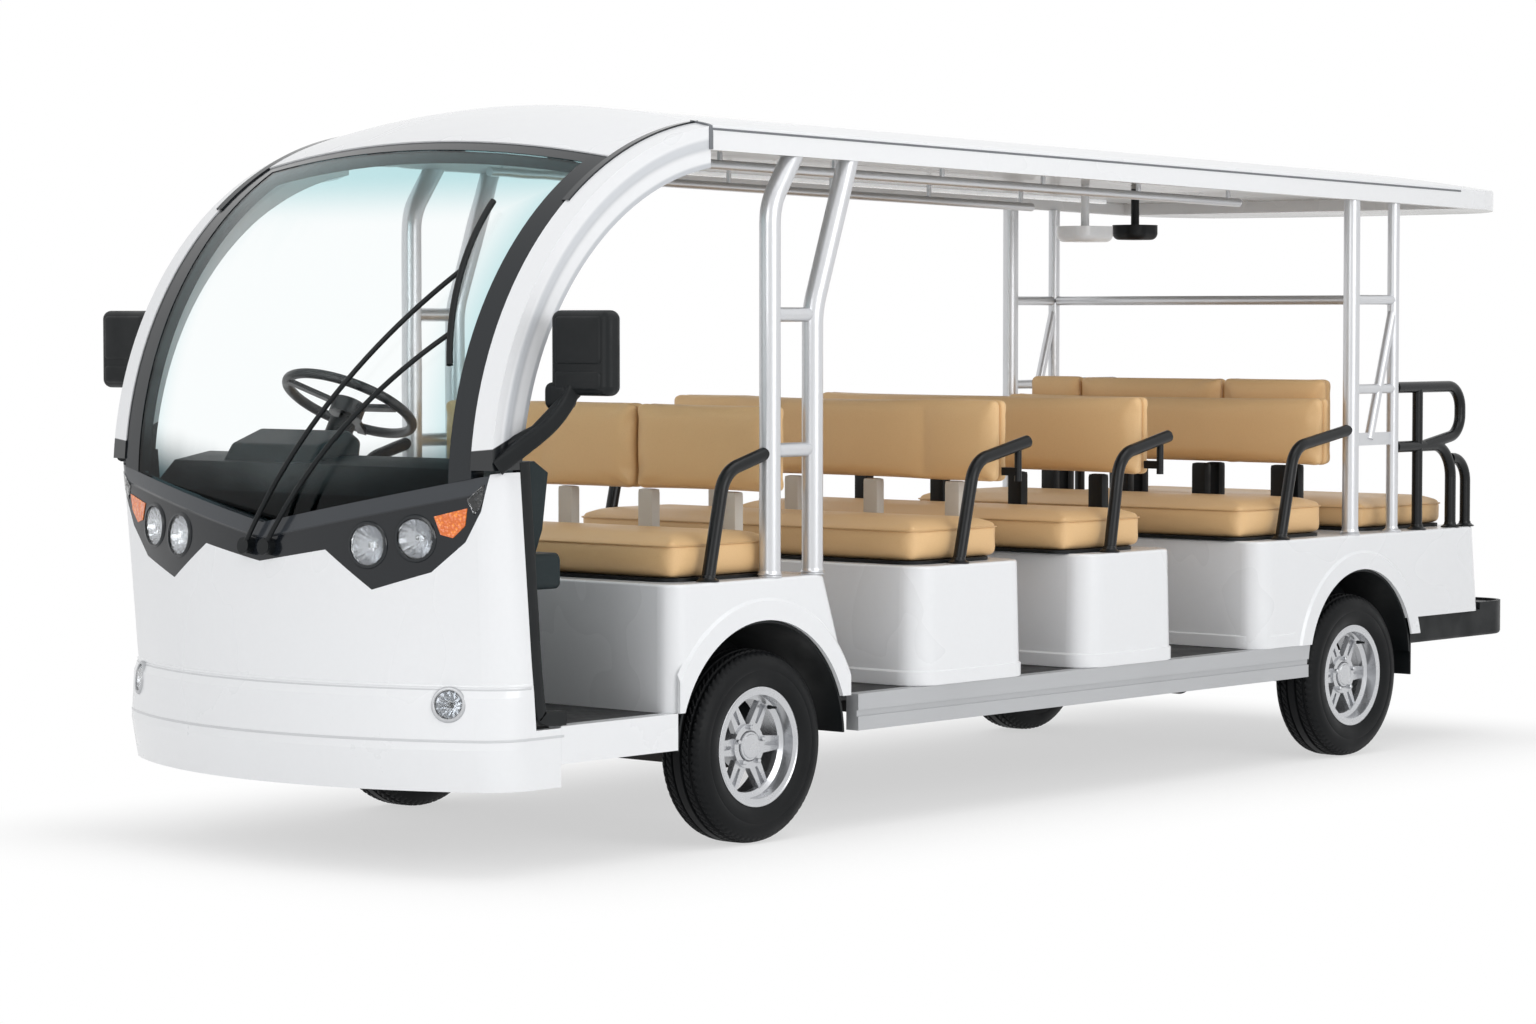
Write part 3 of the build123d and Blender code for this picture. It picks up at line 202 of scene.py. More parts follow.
def bumped(tree, shader, height, strength, distance):
    relief = node(tree, "Bump", {"Height": height, "Strength": strength, "Distance": distance})
    feed(tree, shader.inputs["Normal"], relief.outputs[0])


def finish(name, group, colour, rough=None, values=None, bump=None, sockets=None):
    # one material: the group gives colour, gloss and height, the last dictionary the shader's plain sockets
    material, tree, shader = newMaterial(name)
    wanted = {"Color": rgb(*colour), **(values or {})}
    if rough:
        wanted["Rough Low"], wanted["Rough High"] = rough
    skin = node(tree, "Group", wanted, node_tree=groups[group])
    feed(tree, shader.inputs["Base Color"], skin.outputs["Color"])
    feed(tree, shader.inputs["Roughness"], skin.outputs["Roughness"])
    if bump:
        bumped(tree, shader, skin.outputs["Height"], *bump)
    for key, value in (sockets or {}).items():
        shader.inputs[key].default_value = value
    return material, tree, shader, skin


# columns: group, colour, lower and upper roughness, other group values, bump and its depth, shader sockets
plainFinishes = {
    "bodyWhite": ("paint", (0.80, 0.812, 0.83), (0.27, 0.28), {"Dust Amount": 0.03}, (0.004, 0.0003),
                  {"Coat Weight": 0.3, "Coat Roughness": 0.1}),
    # painted shade lines under the cowl's ledge and along its crease
    "paintedShadeGrey": ("paint", (0.60, 0.61, 0.63), (0.27, 0.3), {"Dust Amount": 0.05}, None, {"Coat Weight": 0.2}),
    "railBlack": ("paint", (0.004, 0.005, 0.006), (0.24, 0.34), {
        "Dust Color": rgb(0.03, 0.03, 0.03), "Dust Amount": 0.1, "Dust Top": 1.2, "Peel Scale": 700.0},
        (0.03, 0.0005), {"Specular IOR Level": 0.3}),
    "trimGloss": ("paint", (0.008, 0.011, 0.014), (0.12, 0.2), {"Dust Amount": 0.0}, (0.02, 0.0003),
                  {"Specular IOR Level": 0.4, "Coat Weight": 0.12, "Coat Roughness": 0.05}),
    "chassisPaint": ("paint", (0.018, 0.018, 0.02), (0.4, 0.6), {
        "Dust Color": rgb(0.10, 0.09, 0.08), "Dust Amount": 0.55, "Dust Top": 0.55, "Peel Scale": 260.0},
        (0.15, 0.001)),
    "sillGrey": ("metal", (0.50, 0.51, 0.525), (0.3, 0.45), {"Stretch": (1.0, 60.0, 60.0)}, (0.03, 0.0004),
                 {"Metallic": 0.35}),
    "postMetal": ("metal", (0.66, 0.67, 0.69), (0.31, 0.35), {"Stretch": (30.0, 30.0, 0.5)}, None,
                  {"Metallic": 0.7}),
    "wheelAlloy": ("metal", (0.58, 0.59, 0.61), (0.22, 0.3), {"Stretch": (2.0, 2.0, 2.0)}, None,
                   {"Metallic": 0.75, "Coat Weight": 0.3}),
    "mirrorFace": ("metal", (0.85, 0.87, 0.9), (0.015, 0.04), {"Stretch": (1.0, 1.0, 1.0)}, None,
                   {"Metallic": 1.0}),
    "lampChrome": ("metal", (0.52, 0.53, 0.55), (0.05, 0.12), {"Stretch": (3.0, 3.0, 3.0)}, None,
                   {"Metallic": 1.0}),
    "trimMould": ("mould", (0.0035, 0.005, 0.006), (0.35, 0.6), {
        "Scuff Color": rgb(0.015, 0.016, 0.017), "Scuff Amount": 0.18},
        (0.2, 0.0005), {"Specular IOR Level": 0.28}),
    "tyreRubber": ("mould", (0.0035, 0.0042, 0.005), (0.42, 0.6), {
        "Scuff Color": rgb(0.012, 0.012, 0.012), "Scuff Amount": 0.35, "Grain Scale": 320.0},
        (0.15, 0.0008), {"Specular IOR Level": 0.18}),
    "sleeveBeige": ("mould", (0.60, 0.565, 0.51), (0.35, 0.5), {
        "Scuff Color": rgb(0.50, 0.47, 0.42), "Scuff Amount": 0.3}, (0.05, 0.0005)),
    # grey of the cap seams, and a painted shadow line in the roof grooves
    "sealAndShadowGrey": ("mould", (0.16, 0.17, 0.185), (0.35, 0.5), {
        "Scuff Color": rgb(0.24, 0.245, 0.25), "Scuff Amount": 0.3}, None, {"Specular IOR Level": 0.4}),
    "dashSkin": ("hide", (0.008, 0.018, 0.021), None, {
        "Drift And Valley Shade Color": rgb(0.003, 0.007, 0.008), "Cell Scale": 420.0, "Fold Scale": 4.0},
        (0.5, 0.004), {"Specular IOR Level": 0.25}),
    "gripBlack": ("hide", (0.016, 0.018, 0.02), None, {
        "Drift And Valley Shade Color": rgb(0.006, 0.006, 0.007), "Cell Scale": 520.0, "Fold Scale": 30.0}, (0.3, 0.0008)),
    "seatHide": ("hide", (0.80, 0.53, 0.265), None, {
        "Drift And Valley Shade Color": rgb(0.68, 0.43, 0.205), "Cell Scale": 300.0, "Fold Scale": 4.5},
        (0.2, 0.006), {"Specular IOR Level": 0.4, "Sheen Weight": 0.05}),
    "seatPiping": ("hide", (0.66, 0.415, 0.195), None, {
        "Drift And Valley Shade Color": rgb(0.52, 0.31, 0.14), "Cell Scale": 500.0, "Fold Scale": 40.0}, (0.2, 0.001)),
}
lensFinishes = {  # colour, deeper colour between the cells, scale of the cells, glow
    "amberLens": ((0.95, 0.27, 0.015), (0.62, 0.11, 0.004), 95.0, 0.12),
    "redLens": ((0.55, 0.01, 0.012), (0.25, 0.003, 0.004), 95.0, 0.04),
    "stripGlow": ((0.9, 0.92, 0.94), (0.82, 0.84, 0.86), 60.0, 0.35),
}
matRibs = {"scale": 14.0, "furrow": rgb(0.055, 0.053, 0.05), "bump": (0.8, 0.004)}


def ribbedMat():
    # floor mat: parallel ribs along the vehicle, grey dust in the furrows
    material, tree, shader, skin = finish("floorMat", "mould", (0.02, 0.021, 0.023), (0.5, 0.8), {
        "Scuff Color": rgb(0.09, 0.088, 0.082), "Scuff Amount": 0.6})
    wanted = {"Vector": objectPlace(tree), "Scale": matRibs["scale"], "Distortion": 0.0}
    ribs = node(tree, "TexWave", wanted, bands_direction="Y").outputs["Fac"]
    height = maths(tree, "ADD", ribs, maths(tree, "MULTIPLY", skin.outputs["Height"], 0.1))
    bumped(tree, shader, height, *matRibs["bump"])
    dusty = mixColour(tree, ramp(tree, ribs, 0.5, 0.0, 0.0, 0.4), skin.outputs["Color"], matRibs["furrow"])
    feed(tree, shader.inputs["Base Color"], dusty)
    return material


def newGlass(name, bend):
    material, tree, shader = newMaterial(name)
    shader.inputs["Transmission Weight"].default_value = 1.0
    shader.inputs["IOR"].default_value = bend
    return material, tree, shader


lens = {"bend": 1.45, "tints": (rgb(0.97, 0.98, 0.985), rgb(0.93, 0.95, 0.96)), "cloud": 30.0, "ribs": 110.0}


def lampPane():
    # clear lens: a tint that drifts a little and small square moulded cells
    material, tree, shader = newGlass("lampGlass", lens["bend"])
    cloud = noise(tree, objectPlace(tree), lens["cloud"], 3.0)
    feed(tree, shader.inputs["Base Color"], mixColour(tree, ramp(tree, cloud, 0.3, 0.7), *lens["tints"]))
    feed(tree, shader.inputs["Roughness"], ramp(tree, cloud, 0.3, 0.7, 0.0, 0.03))
    bumped(tree, shader, cells(tree, lens["ribs"], feature="F1", distance="CHEBYCHEV"), 0.6, 0.0015)
    return material


vee = {"foot": 0.915, "slope": 0.19}  # the V along which the glass meets the lamp panel
screen = {"bend": 1.2, "clear": rgb(0.955, 0.985, 0.985), "edge": rgb(0.44, 0.72, 0.75),
          "paintedShade": rgb(0.045, 0.085, 0.095), "slant": (0.5, 0.95), "sides": (0.44, 0.68, 0.0, 0.85),
          "head": (1.70, 1.86, 0.0, 0.9), "band": (0.19, 0.03)}


def aboveVee(tree, part):
    # height less the height of the V, which rises evenly to both sides
    rise = maths(tree, "MULTIPLY", maths(tree, "ABSOLUTE", part["Y"]), vee["slope"])
    return maths(tree, "SUBTRACT", maths(tree, "SUBTRACT", part["Z"], vee["foot"]), rise)


def screenPane():
    # windscreen: clear where it is looked through squarely, blue-green at the edges, and dark above the
    # panel, a painted shade that stands in for the shaded cab behind the glass
    material, tree, shader = newGlass("screenGlass", screen["bend"])
    part = objectAxes(tree)
    cloud = noise(tree, stretched(tree, objectPlace(tree), (1.0, 3.0, 0.6)), 2.2, 3.0)
    slant = node(tree, "LayerWeight", {"Blend": 0.35}).outputs["Facing"]
    edge = ramp(tree, maths(tree, "ADD", slant, maths(tree, "MULTIPLY", cloud, 0.25)), *screen["slant"])
    border = ramp(tree, maths(tree, "ABSOLUTE", part["Y"]), *screen["sides"])
    head = ramp(tree, part["Z"], *screen["head"])
    edge = maths(tree, "MAXIMUM", edge, maths(tree, "MAXIMUM", border, head))
    tint = mixColour(tree, edge, screen["clear"], screen["edge"])
    # painted shade: a dark tint above the panel's V, with a drifting edge
    shadeBandLevel = maths(tree, "ADD", aboveVee(tree, part), maths(tree, "MULTIPLY", cloud, 0.05))
    tint = mixColour(tree, ramp(tree, shadeBandLevel, *screen["band"]), tint, screen["paintedShade"])
    feed(tree, shader.inputs["Base Color"], tint)
    feed(tree, shader.inputs["Roughness"], ramp(tree, cloud, 0.3, 0.7, 0.0, 0.02))
    return material


def facetPlastic(name, colour, deep, scale, glow):
    # coloured lamp plastic: moulded prism cells that are lighter at their middles
    material, tree, shader, skin = finish(name, "paint", colour, (0.06, 0.16), {"Dust Amount": 0.0}, None, {
        "Coat Weight": 0.7, "Coat Roughness": 0.03, "Emission Color": rgb(*colour),
        "Emission Strength": glow})
    facets = cells(tree, scale, feature="F1", distance="MANHATTAN")
    tone = mixColour(tree, ramp(tree, facets, 0.1, 0.75), skin.outputs["Color"], rgb(*deep))
    feed(tree, shader.inputs["Base Color"], tone)
    bumped(tree, shader, facets, 0.7, 0.003)
    return material


lining = {"colour": rgb(0.42, 0.42, 0.41), "joint": rgb(0.15, 0.15, 0.15), "spacing": 0.43,
          "jointHalf": 0.012}


def roofTwoTone():
    # white outside; the face that looks down is a light grey lining with panel joints across the vehicle
    material, tree, shader, skin = finish("roofSkin", "paint", (0.80, 0.81, 0.825), (0.24, 0.36), {
        "Dust Amount": 0.0}, None, {"Coat Weight": 0.2})
    facing = node(tree, "SeparateXYZ", {0: node(tree, "NewGeometry").outputs["Normal"]}).outputs["Z"]
    along = maths(tree, "PINGPONG", objectAxes(tree)["X"], lining["spacing"])
    groove = maths(tree, "MULTIPLY", ramp(tree, along, lining["jointHalf"], 0.0), 0.6)
    under = mixColour(tree, groove, lining["colour"], lining["joint"])
    tone = mixColour(tree, ramp(tree, facing, -0.55, -0.85), skin.outputs["Color"], under)
    feed(tree, shader.inputs["Base Color"], tone)
    return material


frontArc = {"x": 1.505, "z": 1.000}  # middle of the arc that glass and pillars follow
pillar = {"crease": 0.938, "creaseHalf": (0.020, 0.008), "paintedCreaseShade": rgb(0.58, 0.60, 0.63),
          "ridge": (0.024, 0.004), "bump": (0.5, 0.006), "inner": (0.893, 0.884),
          "paintedInnerShade": rgb(0.50, 0.52, 0.55), "slope": 0.42, "foot": (2.1665, 2.1635),
          "footTone": rgb(0.006, 0.008, 0.010)}


def pillarSkin():
    # white, with two long facets told by the distance from the arc's middle whose grey is painted shade, and
    # black below a slanting line
    material, tree, shader, skin = finish("pillarWhite", "paint", (0.80, 0.812, 0.83), (0.26, 0.29), {
        "Dust Amount": 0.0}, None, {"Coat Weight": 0.3, "Coat Roughness": 0.1})
    part = objectAxes(tree)
    reach = hypot(tree, *(maths(tree, "SUBTRACT", part[axis.upper()], frontArc[axis]) for axis in "xz"))
    across = maths(tree, "ABSOLUTE", maths(tree, "SUBTRACT", reach, pillar["crease"]))
    # painted shade: a grey band along the crease and a darker grey at the inner edge
    crease = ramp(tree, across, *pillar["creaseHalf"])
    tone = mixColour(tree, crease, skin.outputs["Color"], pillar["paintedCreaseShade"])
    tone = mixColour(tree, ramp(tree, reach, *pillar["inner"]), tone, pillar["paintedInnerShade"])
    rising = maths(tree, "ADD", part["Z"], maths(tree, "MULTIPLY", part["X"], pillar["slope"]))
    tone = mixColour(tree, ramp(tree, rising, *pillar["foot"]), tone, pillar["footTone"])
    feed(tree, shader.inputs["Base Color"], tone)
    bumped(tree, shader, ramp(tree, across, *pillar["ridge"]), *pillar["bump"])
    return material


panel = {"border": (-0.047, -0.038), "paintedBorderHighlight": rgb(0.038, 0.043, 0.05), "bump": (0.7, 0.005)}


def panelSkin():
    # black lamp panel: a slightly raised border follows the V below the glass, made paler by a painted
    # highlight
    material, tree, shader, skin = finish("panelGloss", "paint", (0.007, 0.009, 0.012), (0.16, 0.22), {
        "Dust Amount": 0.0}, None, {"Specular IOR Level": 0.4, "Coat Weight": 0.12, "Coat Roughness": 0.05})
    border = ramp(tree, aboveVee(tree, objectAxes(tree)), *panel["border"])
    # painted highlight: the border is mixed towards a paler grey
    tone = mixColour(tree, border, skin.outputs["Color"], panel["paintedBorderHighlight"])
    feed(tree, shader.inputs["Base Color"], tone)
    bumped(tree, shader, border, *panel["bump"])
    return material


finishes = {name: finish(name, *row)[0] for name, row in plainFinishes.items()}
finishes.update({name: facetPlastic(name, *row) for name, row in lensFinishes.items()})
for make in (ribbedMat, lampPane, screenPane, roofTwoTone, pillarSkin, panelSkin):
    made = make()
    finishes[made.name] = made

finishOf = {
    "bodyWhite": ["front_cowl", "row1_base", "middle_bases", "rear_body", "front_steps", "roof_cap",
                  "ceiling_lamp"],
    "pillarWhite": ["a_pillars"],
    "roofSkin": ["roof_panel"], "sillGrey": ["side_sills"],
    "postMetal": ["front_posts", "rear_posts", "backrest_struts", "ceiling_rails"],
    "railBlack": ["side_handrails", "rear_handrails"],
    "trimGloss": ["windscreen_trim"], "panelGloss": ["lamp_panel"],
    "trimMould": ["mirror_arms", "mirror_heads", "wiper", "arch_liners", "seat_boards", "rear_step",
                  "mudflaps", "steering_column", "cab_bulkhead", "ceiling_speaker"],
    "dashSkin": ["dashboard"], "floorMat": ["floor_deck"], "screenGlass": ["windscreen"],
    "lampGlass": ["headlamp_lenses", "fog_lamp_lenses"], "amberLens": ["indicator_lenses"],
    "redLens": ["tail_lamps"], "mirrorFace": ["mirror_glasses"], "lampChrome": ["lamp_bowls"],
    "gripBlack": ["steering_wheel"],
    "chassisPaint": ["chassis_rails", "chassis_crossmembers", "tow_bracket", "front_axle", "rear_axle",
                     "leaf_springs", "knuckle_left", "knuckle_right", "battery_pack"],
    "wheelAlloy": [name for name in nodes if name.startswith("rim_")],
    "tyreRubber": [name for name in nodes if name.startswith("tyre_")],
    "seatHide": ["seat_cushions", "seat_backrests"],
}
for label, names in finishOf.items():
    for name in names:
        nodes[name].data.materials.clear()
        nodes[name].data.materials.append(finishes[label])
print("finishes:", len(finishes), "on", sum(map(len, finishOf.values())), "nodes")


# surfaces: every shape is a grid of points (rows, columns, xyz)
def gridQuads(rows, columns, start):
    # each cell of the grid joins its four corner points
    row, column = np.meshgrid(np.arange(rows - 1), np.arange(columns - 1), indexing="ij")
    first = start + (row * columns + column).ravel()
    return np.stack([first, first + columns, first + columns + 1, first + 1], 1)


def makePiece(name, grids, finishName, sharpAngle=35.0):
    # joins grids into one mesh; points that touch are merged, so wraps and poles close
    points, quads, start = [], [], 0
    for grid in grids:
        rows, columns = grid.shape[:2]
        points.append(grid.reshape(-1, 3))
        quads.append(gridQuads(rows, columns, start))
        start += rows * columns
    mesh = bpy.data.meshes.new(name)
    mesh.from_pydata(np.concatenate(points).tolist(), [], np.concatenate(quads).tolist())
    work = bmesh.new()
    work.from_mesh(mesh)
    bmesh.ops.remove_doubles(work, verts=work.verts, dist=0.00002)
    bmesh.ops.dissolve_degenerate(work, edges=work.edges, dist=0.00001)
    bmesh.ops.recalc_face_normals(work, faces=work.faces)
    work.to_mesh(mesh)
    work.free()
    mesh.polygons.foreach_set("use_smooth", np.ones(len(mesh.polygons), bool))
    mesh.set_sharp_from_angle(angle=math.radians(sharpAngle))
    piece = bpy.data.objects.new(name, mesh)
    scene.collection.objects.link(piece)
    mesh.materials.append(finishes[finishName])
    return piece


def attach(piece, slot, body="chassis", replaced=()):
    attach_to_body(piece, body)
    if replaced:
        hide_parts(*replaced)


def addPiece(name, grids, finishName, slot, sharpAngle=35.0, **carried):
    attach(makePiece(name, grids, finishName, sharpAngle), slot, **carried)


def pointsOf(mesh):
    # all points of a mesh, one row each
    flat = np.empty(len(mesh.vertices) * 3, np.float32)
    mesh.vertices.foreach_get("co", flat)
    return flat.reshape(-1, 3)


def unit(vectors):
    # vectors divided by their lengths
    return vectors / np.linalg.norm(vectors, axis=-1, keepdims=True)


def lathe(profile, centre, axis, turns=40):
    # profile points (radius, height) turned in a full circle about an axis through the centre
    profile, axis = np.asarray(profile, float), unit(np.asarray(axis, float))
    helper = np.array([0.0, 0.0, 1.0]) if abs(axis[2]) < 0.9 else np.array([1.0, 0.0, 0.0])
    first = unit(np.cross(helper, axis))
    second = np.cross(axis, first)
    angle = np.linspace(0, 2 * np.pi, turns + 1)
    ring = np.cos(angle)[:, None] * first + np.sin(angle)[:, None] * second
    return np.asarray(centre) + profile[:, :1, None] * ring + profile[:, 1:, None] * axis


def roundedPath(points, passes=3):
    # corner cutting: every pass replaces a corner by the points at one and three quarters of its two runs
    path = np.asarray(points, float)
    for _ in range(passes):
        cut = np.stack([path[:-1] * 0.75 + path[1:] * 0.25, path[:-1] * 0.25 + path[1:] * 0.75], 1)
        path = np.concatenate([path[:1], cut.reshape(-1, 3), path[-1:]])
    return path


def closeEnds(grid):
    # a tube's first and last ring are each drawn together to their middle
    middles = [np.repeat(end.mean(1, keepdims=True), grid.shape[1], 1) for end in (grid[:1], grid[-1:])]
    return np.concatenate([middles[0], grid, middles[1]])


def sweep(path, profile, up=(0.0, 0.0, 1.0), closed=False, ends=True):
    # a closed profile (across, upward) carried along a path, standing square to it at every point
    path, profile = np.asarray(path, float), np.asarray(profile, float)
    if closed:
        path = np.concatenate([path, path[:1]])
        ahead = np.roll(path[:-1], -1, 0) - np.roll(path[:-1], 1, 0)
        tangent = unit(np.concatenate([ahead, ahead[:1]]))
    else:
        tangent = unit(np.gradient(path, axis=0))
    across = unit(np.cross(tangent, np.asarray(up, float)))
    upward = np.cross(across, tangent)
    grid = path[:, None] + profile[None, :, :1] * across[:, None] + profile[None, :, 1:] * upward[:, None]
    return closeEnds(grid) if ends and not closed else grid


def roundProfile(radius, sides=10):
    # points evenly spaced on a circle
    angle = np.linspace(0, 2 * np.pi, sides + 1)
    return np.stack([radius * np.cos(angle), radius * np.sin(angle)], 1)


def boxProfile(x0, x1, y0, y1, corner=0.002, steps=3):
    # rectangle with rounded corners, walked once round
    turn = np.linspace(0, np.pi / 2, steps + 1)
    arcs = []
    for start, cx, cy in ((0, x1, y1), (1, x0, y1), (2, x0, y0), (3, x1, y0)):
        angle = turn + start * np.pi / 2
        insetX = cx - corner * np.sign(cx - (x0 + x1) / 2)
        insetY = cy - corner * np.sign(cy - (y0 + y1) / 2)
        arcs.append(np.stack([insetX + corner * np.cos(angle), insetY + corner * np.sin(angle)], 1))
    loop = np.concatenate(arcs)
    return np.concatenate([loop, loop[:1]])


def planLoop(front, rear, half, corner, z, count=16):
    # closed path round a rectangle with round corners
    loop = boxProfile(rear, front, -half, half, corner, count)[:-1]
    return np.column_stack([loop, np.full(len(loop), z)])


def bothSides(grids):
    # each grid and its mirror image across the vehicle
    return list(grids) + [grid * np.array([1.0, -1.0, 1.0]) for grid in grids]


def paddedBox(low, high, radii, cell):
    # six grids of a box; each point is pulled onto an ellipsoid of the given radii round an inner box
    low, high, radii = (np.asarray(v, float) for v in (low, high, radii))
    counts = np.maximum(np.round((high - low) / cell).astype(int), 2)
    lines = [np.linspace(low[i], high[i], counts[i] + 1) for i in range(3)]
    grids = []
    for fixed in range(3):
        first, second = [i for i in range(3) if i != fixed]
        a, b = np.meshgrid(lines[first], lines[second], indexing="ij")
        for end in (low[fixed], high[fixed]):
            flat = np.empty(a.shape + (3,))
            flat[..., first], flat[..., second], flat[..., fixed] = a, b, end
            core = np.clip(flat, low + radii, high - radii)
            grids.append(core + radii * unit((flat - core) / radii))
    return grids


# padded seats: rounded boxes that a cloth simulation swells between their sewn lines
cloth = {"quality": 5, "mass": 0.3, "tension_stiffness": 12, "compression_stiffness": 12,
         "bending_stiffness": 0.6, "use_pressure": True, "uniform_pressure_force": 4.0,
         "vertex_group_mass": "sewn"}
clothSteps = 20


def swell(piece, sewn, cap):
    # cloth under pressure: points on sewn lines stay, the rest moves outwards by no more than the cap
    mesh = piece.data
    rest = pointsOf(mesh)
    held = piece.vertex_groups.new(name="sewn")
    held.add(np.flatnonzero(sewn(rest)).tolist(), 1.0, "REPLACE")
    swelling = piece.modifiers.new("swell", "CLOTH")
    for key, value in cloth.items():
        setattr(swelling.settings, key, value)
    swelling.settings.effector_weights.gravity = 0.0
    swelling.collision_settings.use_collision = False
    for step in range(1, clothSteps + 1):
        scene.frame_set(step)
    move = pointsOf(piece.evaluated_get(bpy.context.evaluated_depsgraph_get()).data) - rest
    reach = np.linalg.norm(move, axis=1, keepdims=True)
    move *= cap * np.tanh(reach / cap) / np.maximum(reach, 1e-9)
    piece.modifiers.remove(swelling)
    scene.frame_set(1)
    mesh.vertices.foreach_set("co", (rest + move).ravel())
    mesh.update()
    return float(reach.max())


seatRows = {  # front and rear of cushion and backrest, backrest top, half width, where pads part or are sewn
    "row1": {"cushion": (1.730, 1.292), "back": (1.300, 1.220), "top": 1.222, "half": 0.678,
             "parts": (0.127,), "sewn": (-0.236,), "replaces": (["seat_cushions"], ["seat_backrests"])},
    "row2": {"cushion": (0.690, 0.263), "back": (0.282, 0.202), "top": 1.222, "half": 0.678,
             "sewn": (-0.390, 0.390)},
    "row3": {"cushion": (-0.045, -0.463), "back": (-0.444, -0.524), "top": 1.222, "half": 0.678},
    "row4": {"cushion": (-0.985, -1.483), "back": (-1.465, -1.545), "top": 1.202, "half": 0.678},
    "row5": {"cushion": (-1.760, -2.290), "back": (-1.550, -1.630), "top": 1.262, "half": 0.638,
             "parts": (-0.400, 0.200), "lower": 0.020, "seam": 0.42},
}
cushion = {"low": 0.748, "top": 0.863, "shrink": 0.008, "radii": (0.026, 0.026, 0.020), "cell": 0.018,
           "cap": 0.014, "heldEdge": 0.01, "heldFoot": 0.004, "weltDrop": 0.027, "weltRadius": 0.0024,
           "weltProud": 0.002, "weltCorner": 0.028, "weltHold": 0.45}
backrest = {"low": 0.957, "narrower": 0.020, "shrink": 0.007, "gap": 0.003, "radii": (0.017, 0.026, 0.026),
            "cell": 0.016, "cap": 0.012, "seam": 0.58, "seamHalf": 0.006, "stitchHalf": 0.0085,
            "stitchRise": 0.02, "noStitch": (9.0,)}  # a line far off the seat, so that nothing is sewn
sleeve = {"y": (-0.480, -0.160, 0.160, 0.480), "behind": 0.040, "half": (0.019, 0.029), "z": (0.7385, 0.966),
          "radii": (0.007, 0.009, 0.006), "cell": 0.012, "paleRows": ("row1", "row2")}


def finishPad(piece, sewn, cap, replaced):
    # the pad swells and is subdivided once
    print("  swell", piece.name, round(swell(piece, sewn, cap), 4))
    smooth = piece.modifiers.new("smooth", "SUBSURF")
    smooth.levels = 1
    smooth.render_levels = 1
    attach(piece, "seat_leather", replaced=replaced)


def buildCushion(name, row, replaced):
    # rounded box held at its foot and along the welt, and a round welt carried about it
    c = cushion
    front, rear = row["cushion"]
    top, inset = c["top"] - row.get("lower", 0.0), c["shrink"]
    low = (rear + inset, -row["half"] + inset, c["low"])
    high = (front - inset, row["half"] - inset, top - inset)
    weltZ = top - c["weltDrop"]

    def sewn(p):
        foot = p[:, 2] < c["low"] + c["heldFoot"]
        ends = (p[:, 0] > high[0] - c["heldEdge"]) | (p[:, 0] < low[0] + c["heldEdge"])
        sides = np.abs(p[:, 1]) > high[1] - c["heldEdge"]
        return foot | ((ends | sides) & (np.abs(p[:, 2] - weltZ) < c["cell"] * c["weltHold"]))
    pad = makePiece(name + "Cushion", paddedBox(low, high, c["radii"], c["cell"]), "seatHide", 180.0)
    finishPad(pad, sewn, c["cap"], replaced)
    proud = c["weltProud"]
    path = planLoop(high[0] + proud, low[0] - proud, high[1] + proud, c["weltCorner"], weltZ)
    welt = sweep(path, roundProfile(c["weltRadius"], 8), closed=True)
    addPiece(name + "Welt", [welt], "seatPiping", "seat_leather")


def buildBackrest(name, row, replaced):
    # side by side pads, each a front and a rear rounded box that meet at the seam
    b = backrest
    front, rear = max(row["back"]), min(row["back"])
    half, inset = row["half"] - b["narrower"], b["shrink"]
    edges = np.array([-half, *row.get("parts", ()), half])
    lines = np.array(row.get("sewn", b["noStitch"]))
    seamX = front + (rear - front) * row.get("seam", b["seam"])
    grids = []
    for left, right in zip(edges[:-1], edges[1:]):
        for back, ahead in ((rear + inset, seamX), (seamX, front - inset)):
            grids += paddedBox((back, left + b["gap"], b["low"] + inset),
                               (ahead, right - b["gap"], row["top"] - inset), b["radii"], b["cell"])

    def sewn(p):
        stitched = np.abs(p[:, 1][:, None] - lines[None]).min(1) < b["stitchHalf"]
        return (np.abs(p[:, 0] - seamX) < b["seamHalf"]) | (stitched & (p[:, 2] > b["low"] + b["stitchRise"]))
    finishPad(makePiece(name + "Backrest", grids, "seatHide", 180.0), sewn, b["cap"], replaced)


def buildSleeves(name, row):
    # a flat rounded box over each strut of one backrest
    s = sleeve
    x = max(row["back"]) - s["behind"]
    (halfX, halfY), (low, high) = s["half"], s["z"]
    grids = []
    for y in s["y"]:
        grids += paddedBox((x - halfX, y - halfY, low), (x + halfX, y + halfY, high), s["radii"], s["cell"])
    look = ("sleeveBeige", "aluminium_tube") if name in s["paleRows"] else ("trimMould", "black_trim")
    addPiece(name + "Sleeves", grids, *look, 60.0)


for name, row in seatRows.items():
    cushionNodes, backrestNodes = row.get("replaces", ([], []))
    buildCushion(name, row, cushionNodes)
    buildBackrest(name, row, backrestNodes)
    buildSleeves(name, row)
print("seats done")


# tyres: a section swept round the axle, with grooves and shoulder blocks pressed into the tread
tyre = {"radius": 0.270, "bead": 0.150, "half": 0.0775, "steps": 288, "shoulder": 0.022, "crownDrop": 0.006,
        "treadDepth": 0.013, "grooves": (-0.044, -0.0165, 0.0165, 0.044), "grooveHalf": 0.0035,
        "grooveWall": 0.0012, "grooveDepth": 0.007, "blocks": 72, "blockDepth": 0.0045, "slotSlant": 60,
        "slotShare": 0.26}


